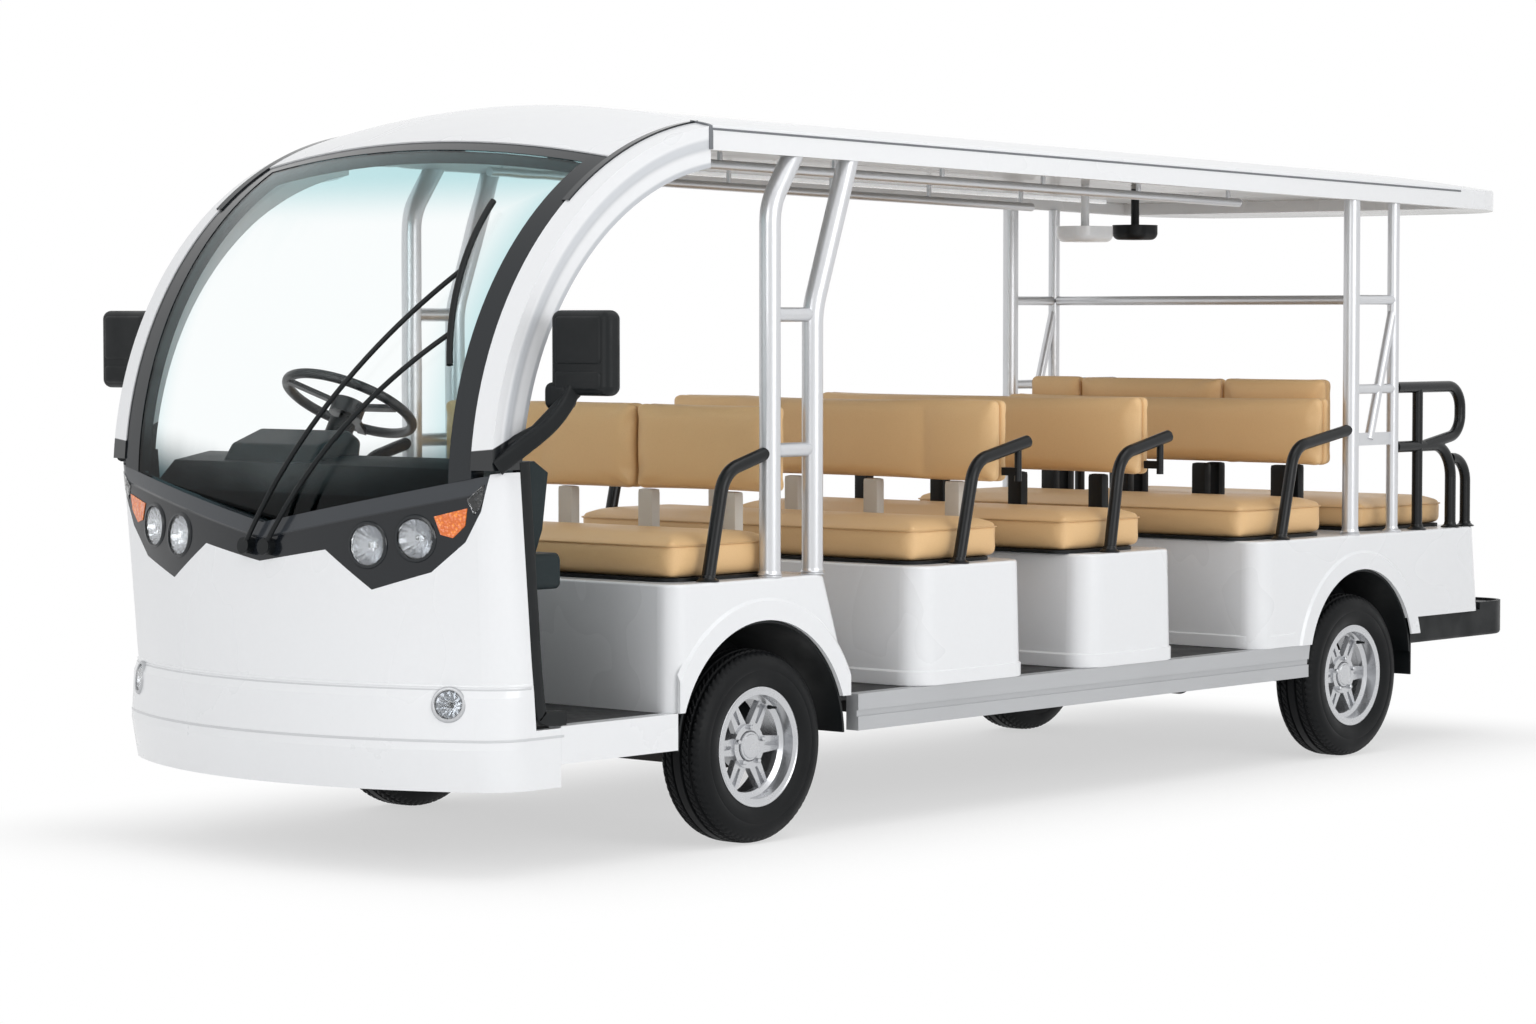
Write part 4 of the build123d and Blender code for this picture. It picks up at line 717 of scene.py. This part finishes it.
def tyreGrid(centre, side):
    # section points (radius, across) turned about the axle, less the depth of the groove or slot there
    t = tyre
    r, w, b = t["radius"], t["half"], t["bead"]
    flat = w - t["shoulder"]
    across = np.linspace(-flat, flat, 62)
    crown = np.column_stack([r - t["crownDrop"] * (across / flat) ** 4, across])
    outer = np.array([(0.010, 0.016), (0.018, 0.009), (0.024, 0.0072), (0.027, 0.0045), (0.040, 0.0012),
                      (0.052, 0.0), (0.056, 0.0016), (0.062, 0.0003), (0.078, 0.002), (0.090, 0.006),
                      (0.100, 0.0115)])
    inner = np.array([(0.014, 0.0165), (0.010, 0.019), (0.004, 0.020), (0.0, 0.0265)])
    wall = np.concatenate([(r, w) - outer, (b, w) + inner * (1, -1)])
    section = np.concatenate([wall[::-1] * (1, -1), crown, wall, wall[-1:] * (1, -1)])
    angle = np.linspace(0, 2 * np.pi, t["steps"] + 1)
    radius = np.repeat(section[None, :, 0], len(angle), 0)
    place = np.repeat(section[None, :, 1], len(angle), 0)
    near = np.min(np.abs(place[..., None] - np.array(t["grooves"])), -1)
    groove = t["grooveDepth"] * np.clip((t["grooveHalf"] + t["grooveWall"] - near) / t["grooveWall"], 0, 1)
    phase = (angle[:, None] * t["blocks"] / (2 * np.pi) + place * t["slotSlant"]) % 1.0
    slot = t["blockDepth"] * ((phase < t["slotShare"]) & (np.abs(place) > t["shoulder"]))
    radius = radius - (radius > r - t["treadDepth"]) * np.maximum(groove, slot)
    turned = [radius * np.cos(angle)[:, None], side * place, radius * np.sin(angle)[:, None]]
    return np.asarray(centre) + np.stack(turned, -1)


wheels = {"front_left": (1.425, 1), "front_right": (1.425, -1),
          "rear_left": (-1.575, 1), "rear_right": (-1.575, -1)}  # place along the vehicle, side
wheel = {"track": 1.320, "axleZ": 0.270, "hubFace": 0.030, "nuts": 5, "nutCircle": 0.053, "firstNut": 0.3,
         "capRadius": 0.041, "valveCircle": 0.128, "valveAngle": 2.2, "valveOut": 0.034}


def onCircle(radius, angle):
    # point on a circle that stands square to the axle
    return radius * np.array([math.cos(angle), 0.0, math.sin(angle)])


def buildWheel(name, x, side):
    # tyre, cap, rim lip, nuts spaced evenly on a circle and a valve, all turned about lines along the axle
    w = wheel
    face, r = w["hubFace"], w["capRadius"]
    body = "wheel_" + name
    centre = np.array([x, side * w["track"] / 2, w["axleZ"]])
    axis = np.array([0.0, side, 0.0])
    addPiece("tyre" + name, [tyreGrid(centre, side)], "tyreRubber", "tyre_rubber", 30.0, body=body,
             replaced=["tyre_" + name])
    cap = [(0, face + 0.011), (r * 0.5, face + 0.0105), (r * 0.8, face + 0.008), (r * 0.84, face + 0.0055),
           (r * 0.96, face + 0.0045), (r, face + 0.001), (r, face - 0.011), (0, face - 0.0115)]
    lip = [(0.1585, 0.0640), (0.1645, 0.0668), (0.1672, 0.0660), (0.1674, 0.0620), (0.1600, 0.0615),
           (0.1585, 0.0640)]
    nut = [(0, face + 0.013), (0.0045, face + 0.0125), (0.0072, face + 0.010), (0.0078, face),
           (0, face - 0.001)]
    details = [lathe(cap, centre, axis), lathe(lip, centre, axis, 72)]
    for index in range(w["nuts"]):
        turn = 2 * math.pi * index / w["nuts"] + w["firstNut"]
        details.append(lathe(nut, centre + onCircle(w["nutCircle"], turn), axis, 6))
    addPiece("wheelTrim" + name, details, "wheelAlloy", "wheel_alloy", body=body)
    foot = centre + np.array([0.0, side * w["valveOut"], 0.0]) + onCircle(w["valveCircle"], w["valveAngle"])
    valve = [(0, 0.030), (0.0035, 0.029), (0.004, 0.012), (0.0055, 0.010), (0.006, 0.0), (0, -0.001)]
    addPiece("valve" + name, [lathe(valve, foot, axis, 12)], "trimMould", "tyre_rubber", body=body)


for name, (x, side) in wheels.items():
    buildWheel(name, x, side)
print("wheels done")


# feet of rails and posts
deckZ = 0.738
railFeet = {"x": (1.623, 0.519, -0.228, -1.164, -2.201, -2.297, -1.988), "y": 0.712, "radius": 0.031,
            "tube": 0.019}
postFeet = {"x": (1.363, 1.181, -1.575, -1.830), "y": 0.712, "tube": (0.030, 0.030, 0.027, 0.020),
            "wider": 0.013, "widest": 0.0325}


def footFlange(x, y, tube, radius):
    # disc with a rounded edge and a fillet that climbs the tube
    bore = tube * 0.9
    profile = [(bore, 0.0), (radius, 0.0), (radius + 0.001, 0.002), (radius, 0.0045), (radius - 0.004, 0.006),
               (tube + 0.006, 0.0075), (tube + 0.002, 0.011), (tube + 0.0006, 0.018), (bore, 0.0182),
               (bore, 0.0)]
    return lathe(profile, (x, y, deckZ), (0, 0, 1), 32)


feet = [footFlange(x, railFeet["y"], railFeet["tube"], railFeet["radius"]) for x in railFeet["x"]]
addPiece("railFeet", bothSides(feet), "railBlack", "black_tube")
feet = [footFlange(x, postFeet["y"], tube, min(tube + postFeet["wider"], postFeet["widest"]))
        for x, tube in zip(postFeet["x"], postFeet["tube"])]
addPiece("postFeet", bothSides(feet), "postMetal", "aluminium_tube")
print("feet done")


# front lamps: a bezel, a fluted reflector and a bulb on the axis of each round lens
lampSets = {  # at: across and height of each left lens
    "headlamp_lenses": {"at": ((0.375, 0.867), (0.515, 0.883)), "radius": 0.054, "depth": 0.034,
                        "flutes": 18},
    "fog_lamp_lenses": {"at": ((0.610, 0.457),), "radius": 0.038, "depth": 0.026, "flutes": 12},
}
bowl = {"rim": 0.003, "neck": 0.16, "rings": 14, "setBack": 0.006, "wave": 0.0022, "turns": 144,
        "fitMargin": 0.006}


def lensAxis(name, y, z, radius):
    # middle and outward direction of one lens, fitted to the lens's own points in the CAD node
    points = pointsOf(nodes[name].data).astype(float)
    points = points[np.hypot(points[:, 1] - y, points[:, 2] - z) < radius + bowl["fitMargin"]]
    middle = points.mean(0)
    normal = np.linalg.svd(points - middle)[2][-1]
    return middle, normal * np.sign(normal[0])


def flutedBowl(centre, axis, radius, depth, flutes):
    # paraboloid whose depth is waved round the axis, more towards its rim
    share = np.linspace(1.0, bowl["neck"], bowl["rings"])
    profile = np.column_stack([share * radius, (share ** 2 - 1.0) * depth - bowl["setBack"]])
    angle = np.linspace(0, 2 * np.pi, bowl["turns"] + 1)
    wave = bowl["wave"] * np.abs(np.sin(angle * flutes / 2))[None, :] * share[:, None]
    return lathe(profile, centre, axis, bowl["turns"]) + wave[..., None] * axis


def buildFrontLamps():
    # every profile is turned about the axis of its lens
    bezels, bowls, bulbs = {name: [] for name in lampSets}, [], []
    bulb = [(0, -0.012), (0.005, -0.0125), (0.0085, -0.016), (0.009, -0.026), (0.007, -0.036), (0, -0.038)]
    for name, lampSet in lampSets.items():
        r = lampSet["radius"]
        bezel = [(r - 0.001, -0.004), (r - 0.0005, 0.0045), (r + 0.002, 0.0062), (r + 0.006, 0.0055),
                 (r + 0.009, 0.002), (r + 0.010, -0.004), (r - 0.001, -0.004)]
        for y, z in lampSet["at"]:
            middle, outward = lensAxis(name, y, z, r)
            bezels[name].append(lathe(bezel, middle, outward, 64))
            bowls.append(flutedBowl(middle, outward, r - bowl["rim"], lampSet["depth"], lampSet["flutes"]))
            bulbs.append(lathe(bulb, middle, outward, 20))
    addPiece("lampBezels", bothSides(bezels["headlamp_lenses"]), "trimGloss", "black_trim")
    addPiece("fogBezels", bothSides(bezels["fog_lamp_lenses"]), "sillGrey", "body_white")
    addPiece("lampReflectors", bothSides(bowls), "lampChrome", "lamp_chrome", 18.0)
    addPiece("lampBulbs", bothSides(bulbs), "lampGlass", "lamp_glass")


housing = {"depth": 0.045, "edge": 0.004, "radii": (0.008, 0.010, 0.010), "cell": 0.012}
tailLamp = {"radius": 0.045, "faceDepth": 0.003}


def leftPoints(name):
    # the points of a CAD node's left half
    points = pointsOf(nodes[name].data).astype(float)
    return points[points[:, 1] > 0]


def buildHousings():
    # a rounded box behind each corner lamp, as wide and tall as the lamp
    h = housing
    points = leftPoints("indicator_lenses")
    low, high = points.min(0) - h["edge"], points.max(0) + h["edge"]
    grids = paddedBox((low[0] - h["depth"], low[1], low[2]), (low[0], high[1] - 2 * h["edge"], high[2]),
                      h["radii"], h["cell"])
    addPiece("lampHousings", bothSides(grids), "trimMould", "black_trim", 60.0)


def buildTailRings():
    # a ring that is turned about the axis of each tail lamp
    r = tailLamp["radius"]
    points = leftPoints("tail_lamps")
    middle = points[points[:, 0] < points[:, 0].min() + tailLamp["faceDepth"]].mean(0)
    ring = [(r - 0.001, -0.014), (r - 0.0005, 0.001), (r + 0.002, 0.0025), (r + 0.006, 0.001),
            (r + 0.009, -0.006), (r + 0.0095, -0.016), (r - 0.001, -0.014)]
    grids = bothSides([lathe(ring, middle, (-1.0, 0.0, 0.0), 64)])
    addPiece("tailRings", grids, "lampChrome", "lamp_chrome")


buildFrontLamps()
buildHousings()
buildTailRings()
print("lamps done")


# trim along the cowl's door edges, the line between pillar and cap, and lips along the boxes
jamb = {"path": ((2.383, 1.085), (2.360, 0.80), (2.329, 0.425), (2.300, 0.398), (2.215, 0.3955)), "y": 0.7315,
        "profile": (-0.0155, 0.0155, -0.004, 0.034, 0.004), "up": (-1.0, 0.0, 0.35)}
pillarLine = {"radius": 1.0006, "y": 0.682, "angles": (50.0, 82.3), "halfWidth": (0.012, 0.011), "steps": 40,
              "profile": (-1.0, 1.0, -0.004, 0.0022, 0.001)}
boxLips = {"row2": (0.747, 0.213, 0.080), "row3": (-0.063, -0.557, 0.080)}  # front, rear, corner radius
lip = {"low": 0.392, "high": 0.430, "sunk": -0.004, "proud": 0.0035, "bevel": 0.006, "half": 0.745}
rearLip = {"back": -1.200, "front": -0.9935, "turnY": 0.55}


def buildJambs():
    # a rounded strip carried along the door edge
    path = roundedPath([(x, jamb["y"], z) for x, z in jamb["path"]])
    strip = sweep(path, boxProfile(*jamb["profile"]), up=jamb["up"])
    addPiece("doorJambs", bothSides([strip]), "trimMould", "black_trim")


def buildPillarLines():
    # a flat bar that lies on the front arc and narrows towards the roof
    p = pillarLine
    angle = np.radians(np.linspace(*p["angles"], p["steps"]))
    middle = np.stack([frontArc["x"] + p["radius"] * np.cos(angle), np.full(p["steps"], p["y"]),
                       frontArc["z"] + p["radius"] * np.sin(angle)], 1)
    half = np.linspace(*p["halfWidth"], p["steps"])
    outward = np.stack([np.cos(angle), np.zeros(p["steps"]), np.sin(angle)], 1)
    ring = boxProfile(*p["profile"])
    sideways = half[:, None, None] * ring[None, :, :1] * (0, 1, 0)
    line = middle[:, None] + sideways + ring[None, :, 1:] * outward[:, None]
    addPiece("pillarLines", bothSides([line]), "trimGloss", "black_trim")


def buildBoxLips():
    # low bands round the boxes, whose upper edge is bevelled back to the box
    top = (lip["sunk"], lip["high"] + lip["bevel"])
    band = np.array([top, (lip["proud"], lip["high"]), (lip["proud"], lip["low"]),
                     (lip["sunk"], lip["low"]), top])
    bands = [sweep(planLoop(front, rear, lip["half"], corner, 0.0, 10), band, closed=True)
             for front, rear, corner in boxLips.values()]
    corner = roundedPath([(rearLip["back"], lip["half"], 0), (rearLip["front"], lip["half"], 0),
                          (rearLip["front"], rearLip["turnY"], 0)], 5)
    across = np.concatenate([corner, (corner * (1, -1, 1))[::-1]])
    bands.append(sweep(across, band * (-1, 1)))
    addPiece("boxLips", bands, "bodyWhite", "body_white")


buildJambs()
buildPillarLines()
buildBoxLips()
print("trim done")


# roof: a bead and a grey groove along the crease of each side, the groove's grey a painted shadow line, and
# the seam where the cap meets the roof
roofLine = {"x": (1.640, -2.20), "y": 0.7452, "steps": 24, "crease": 0.064, "grooveDrop": 0.0075,
            "bead": (-0.003, 0.003, -0.004, 0.004, 0.0015),
            "groove": (-0.002, 0.0012, -0.0028, 0.0028, 0.0005)}
capSeam = {"x": 1.6455, "yz": ((0.676, 1.9925), (0.741, 1.981), (0.7462, 1.972), (0.7462, 1.914)),
           "profile": (-0.0025, 0.0025, -0.007, 0.007, 0.001)}
fascia = {"frontX": 1.645, "frontZ": 1.913, "fall": 0.090, "length": 4.32}


def fasciaZ(x):
    # lower edge of the roof's side, which falls evenly from front to rear
    return fascia["frontZ"] - fascia["fall"] * (fascia["frontX"] - x) / fascia["length"]


def buildRoofLines():
    # small rounded bars carried along the crease, parallel to the roof's lower edge, and down the cap's edge
    x = np.linspace(*roofLine["x"], roofLine["steps"])
    path = np.column_stack([x, np.full(len(x), roofLine["y"]), fasciaZ(x) + roofLine["crease"]])
    bead = sweep(path, boxProfile(*roofLine["bead"]))
    groove = sweep(path - (0, 0, roofLine["grooveDrop"]), boxProfile(*roofLine["groove"]))
    addPiece("roofBeads", bothSides([bead]), "bodyWhite", "body_white")
    # the grooves' grey is a painted shadow line along the crease; the cap seams are dark joints
    addPiece("roofGrooveShadows", bothSides([groove]), "sealAndShadowGrey", "body_white")
    path = roundedPath([(capSeam["x"], y, z) for y, z in capSeam["yz"]])
    seam = sweep(path, boxProfile(*capSeam["profile"]), up=(1.0, 0.0, 0.0))
    addPiece("capSeams", bothSides([seam]), "sealAndShadowGrey", "black_trim")


buildRoofLines()
print("roof lines done")


# mirror brackets: a flat arm that thickens over the CAD tube, with a rounded block at its neck
bracket = {"path": ((2.452, 0.722, 1.078), (2.405, 0.765, 1.125), (2.352, 0.812, 1.178),
                    (2.318, 0.842, 1.235), (2.305, 0.858, 1.285)),
           "profile": (-0.020, 0.020, -0.031, 0.031, 0.012), "up": (0.4, 0.9, 0.0),
           "scaleAt": (0.0, 0.6, 1.0), "scale": (1.25, 1.0, 0.9),
           "block": ((2.285, 0.772, 1.222), (2.330, 0.862, 1.292), (0.016, 0.020, 0.022), 0.007)}


def buildBrackets():
    # a rounded bar along the path, each ring scaled about the path by its share of the way, and a rounded box
    b = bracket
    path = roundedPath(b["path"])
    scale = np.interp(np.linspace(0, 1, len(path)), b["scaleAt"], b["scale"])
    arm = sweep(path, boxProfile(*b["profile"]), up=b["up"], ends=False)
    arm = closeEnds(path[:, None] + (arm - path[:, None]) * scale[:, None, None])
    addPiece("mirrorBrackets", bothSides([arm, *paddedBox(*b["block"])]), "trimMould", "black_trim", 50.0)


buildBrackets()
print("mirror brackets done")


# lower front: a bead along the bumper's ledge, a fine grey line under it and one along the lower crease,
# their grey a painted shade line
cowlLine = {"front": 2.675, "arc": 1.310, "corner": 0.140, "half": 0.745,
            "ledge": (0.5045, 0.0258, 2.352), "crease": (0.364, 0.0018, 2.224),  # height, set back, rear end
            "beadRadius": 0.0062, "beadInset": 0.0035, "underDrop": 0.0085, "underProud": 0.0046,
            "under": (-0.0009, 0.0009, -0.0024, 0.0024, 0.0006),
            "line": (-0.0012, 0.0012, -0.0034, 0.0034, 0.0008)}


def cowlPath(z, drop, back, inset=0.0):
    # plan of the front at one height: an arc across the middle, a tighter arc at each corner, straight sides
    c = cowlLine
    corner = c["corner"] - inset
    arc = c["arc"] - inset
    middleX = c["front"] - drop - c["arc"]
    cornerY = c["half"] - c["corner"]
    turn = math.asin(cornerY / (arc - corner))
    cornerX = middleX + (arc - corner) * math.cos(turn)
    sweepAngle = np.linspace(0, turn, 24)
    across = np.column_stack([middleX + arc * np.cos(sweepAngle), arc * np.sin(sweepAngle)])
    bend = np.linspace(turn, np.pi / 2, 12)[1:]
    bent = np.column_stack([cornerX + corner * np.cos(bend), cornerY + corner * np.sin(bend)])
    half = np.concatenate([across, bent, [(back, c["half"] - inset)]])
    plan = np.concatenate([half[:0:-1] * (1, -1), half])
    return np.column_stack([plan, np.full(len(plan), z)])


def buildCowlLines():
    # round and flat bars carried along the plan of the front at their heights
    c = cowlLine
    z, drop, back = c["ledge"]
    bead = sweep(cowlPath(z, drop, back, c["beadInset"]), roundProfile(c["beadRadius"], 12))
    under = sweep(cowlPath(z - c["underDrop"], drop - c["underProud"], back), boxProfile(*c["under"]))
    crease = sweep(cowlPath(*c["crease"]), boxProfile(*c["line"]))
    addPiece("ledgeBead", [bead], "bodyWhite", "body_white")
    # grey bars: painted shade lines under the ledge and along the crease
    addPiece("cowlShadeLines", [under, crease], "paintedShadeGrey", "body_white")


buildCowlLines()
print("cowl lines done")


# mirror heads: two raised panels on the face that looks ahead
mirrorPanels = {"x": (2.316, 2.3292), "y": (0.812, 0.978), "upper": (1.338, 1.463), "lower": (1.272, 1.323),
                "radii": (0.0045, 0.014, 0.014), "cell": 0.006}


def buildMirrorPanels():
    # two rounded boxes, one above the other
    m = mirrorPanels
    panels = []
    for low, high in (m["upper"], m["lower"]):
        panels += paddedBox((m["x"][0], m["y"][0], low), (m["x"][1], m["y"][1], high), m["radii"], m["cell"])
    addPiece("mirrorPanels", bothSides(panels), "trimMould", "black_trim", 50.0)


buildMirrorPanels()
print("mirror panels done")


# cab: two gauges on the hood and two pedals hung from the bulkhead
gauges = {"x": 2.157, "y": (-0.355, -0.200), "z": 1.062, "radius": 0.050, "axis": (-1.0, 0.0, -0.14),
          "marks": (-40, 220, 9), "markFrom": 0.62, "markTo": 0.8, "markRadius": 0.0011, "markProud": 0.0028}
pedals = {"y": (-0.390, -0.200), "hang": (2.264, 0.640), "pad": (2.190, 0.470), "half": (0.036, 0.046),
          "thick": (-0.004, 0.010), "radii": (0.005, 0.008, 0.008), "cell": 0.008, "arm": 0.007,
          "armIn": 0.012, "bend": (0.05, 0.01), "armRise": 0.03}


def buildGauges():
    # ring and face are turned about the gauge's axis; plain marks are short rods that point at its middle
    g = gauges
    r = g["radius"]
    ring = [(r - 0.006, -0.004), (r - 0.006, 0.004), (r - 0.004, 0.008), (r, 0.007), (r + 0.001, -0.004),
            (r - 0.006, -0.004)]
    face = [(r - 0.006, -0.003), (r - 0.006, 0.002), (0.008, 0.002), (0.007, 0.006), (0, 0.0065)]
    rings, faces = [], []
    for y in g["y"]:
        at = (g["x"], y, g["z"])
        rings.append(lathe(ring, at, g["axis"], 48))
        faces.append(lathe(face, at, g["axis"], 48))
        for angle in np.radians(np.linspace(*g["marks"])):
            way = np.array([0.0, math.cos(angle), math.sin(angle)])
            middle = np.array([g["x"] - g["markProud"], y, g["z"]])
            inner, outer = (middle + r * share * way for share in (g["markFrom"], g["markTo"]))
            rings.append(sweep(np.linspace(inner, outer, 2), roundProfile(g["markRadius"], 6), up=(1, 0, 0)))
    addPiece("gaugeRings", rings, "lampChrome", "lamp_chrome")
    addPiece("gaugeFaces", faces, "trimGloss", "black_trim")


def buildPedals():
    # a round rod that bends down from the bulkhead to a rounded pad
    p = pedals
    (hangX, hangZ), (padX, padZ), (wide, tall) = p["hang"], p["pad"], p["half"]
    (behind, ahead), (bendX, bendZ) = p["thick"], p["bend"]
    arms, pads = [], []
    for y in p["y"]:
        path = roundedPath([(hangX, y, hangZ), (hangX - bendX, y, hangZ - bendZ),
                            (padX + p["armIn"], y, padZ + p["armRise"]), (padX + p["armIn"], y, padZ)])
        arms.append(sweep(path, roundProfile(p["arm"], 10), up=(0, 1, 0)))
        pads += paddedBox((padX + behind, y - wide, padZ - tall), (padX + ahead, y + wide, padZ + tall),
                          p["radii"], p["cell"])
    addPiece("pedalArms", arms, "railBlack", "black_tube")
    addPiece("pedalPads", pads, "tyreRubber", "black_trim", 60.0)


buildGauges()
buildPedals()
print("cab done")


# ceiling: a light strip along each side under the lining
strips = {"y": 0.585, "x": (1.30, -1.95), "steps": 30, "above": 0.040, "drop": 0.006,
          "profile": (-0.016, 0.016, -0.008, 0.008, 0.004)}


def buildStrips():
    # a rounded bar carried parallel to the roof's lower edge
    x = np.linspace(*strips["x"], strips["steps"])
    path = np.column_stack([x, np.full(len(x), strips["y"]), fasciaZ(x) + strips["above"] - strips["drop"]])
    strip = sweep(path, boxProfile(*strips["profile"]))
    addPiece("lightStrips", bothSides([strip]), "stripGlow", "lamp_glass")


buildStrips()
print("ceiling done")


# stage: pale floor that fades into the white background for what the camera, glossy and glass rays see
stage = {"floorRings": (0.0, 4.0, 8.0, 16.0), "tones": (rgb(0.93, 0.93, 0.93), rgb(0.95, 0.95, 0.95)),
         "ambient": 0.64, "reach": {"X": 2.35, "Y": 0.70}, "fade": 0.80, "shadowShare": 0.42}


def viewRays(tree):
    path = node(tree, "LightPath").outputs
    seen = maths(tree, "MAXIMUM", path["Is Camera Ray"], path["Is Glossy Ray"])
    return maths(tree, "MAXIMUM", seen, path["Is Transmission Ray"])


def floorSkin():
    # the shadow keeps its share near the vehicle; past its reach the floor turns white with distance
    material, tree, shader = newMaterial("paleFloor")
    cloud = noise(tree, objectPlace(tree), 0.8, 3.0)
    feed(tree, shader.inputs["Base Color"], mixColour(tree, cloud, *stage["tones"]))
    shader.inputs["Roughness"].default_value = 0.9
    shader.inputs["Specular IOR Level"].default_value = 0.1
    part = objectAxes(tree)
    beyond = [maths(tree, "MAXIMUM", maths(tree, "SUBTRACT", maths(tree, "ABSOLUTE", part[axis]), reach), 0.0)
              for axis, reach in stage["reach"].items()]
    white = ramp(tree, hypot(tree, *beyond), 0.0, stage["fade"], 1.0 - stage["shadowShare"], 1.0)
    glow = node(tree, "Emission", {"Color": rgb(1, 1, 1), "Strength": 1.0}).outputs[0]
    fade = maths(tree, "MULTIPLY", white, viewRays(tree))
    blend = node(tree, "MixShader", {0: fade, 1: shader.outputs[0], 2: glow})
    feed(tree, tree.nodes["Material Output"].inputs["Surface"], blend.outputs[0])
    return material


def buildFloor():
    # flat disc: rings of growing radius
    rings = np.column_stack([stage["floorRings"], np.zeros(len(stage["floorRings"]))])
    finishes["paleFloor"] = floorSkin()
    makePiece("floor", [lathe(rings, (0, 0, 0), (0, 0, 1), 64)], "paleFloor")


buildFloor()
world = bpy.data.worlds.new("studio")
scene.world = world
world.use_nodes = True
sky = world.node_tree.nodes["Background"].inputs
sky["Color"].default_value = rgb(1, 1, 1)
level = ramp(world.node_tree, viewRays(world.node_tree), 0.0, 1.0, stage["ambient"], 1.0, "LINEAR")
feed(world.node_tree, sky["Strength"], level)


def aimed(name, data, place, look):
    # a lamp or camera at a place, turned to look along a direction
    made = bpy.data.objects.new(name, data)
    made.location = place
    made.rotation_mode = "QUATERNION"
    made.rotation_quaternion = Vector(look).to_track_quat("-Z", "Y")
    scene.collection.objects.link(made)
    return made


lamps = {  # place, aim, size, watts
    "top": ((0.5, 2.5, 7.5), (0.0, 0.0, 0.6), 6.0, 115.0),
    "side": ((1.5, 8.5, 3.2), (-0.2, 0.0, 0.8), 5.0, 190.0),
    "front": ((8.5, 1.5, 3.0), (1.0, 0.0, 0.8), 4.0, 105.0),
}
for name, (place, aim, size, watts) in lamps.items():
    light = bpy.data.lights.new(name, "AREA")
    light.shape, light.size, light.energy = "DISK", size, watts
    aimed(name, light, place, Vector(aim) - Vector(place))

view = {"place": (9.905, 8.136, 1.463), "look": (-0.7536, -0.6556, -0.0480), "lens": 95.6, "sensor": 36.0}
cameraData = bpy.data.cameras.new("camera")
cameraData.sensor_width = view["sensor"]
cameraData.lens = view["lens"]
scene.camera = aimed("camera", cameraData, view["place"], view["look"])
scene.view_settings.view_transform = "Standard"
print("stage done")
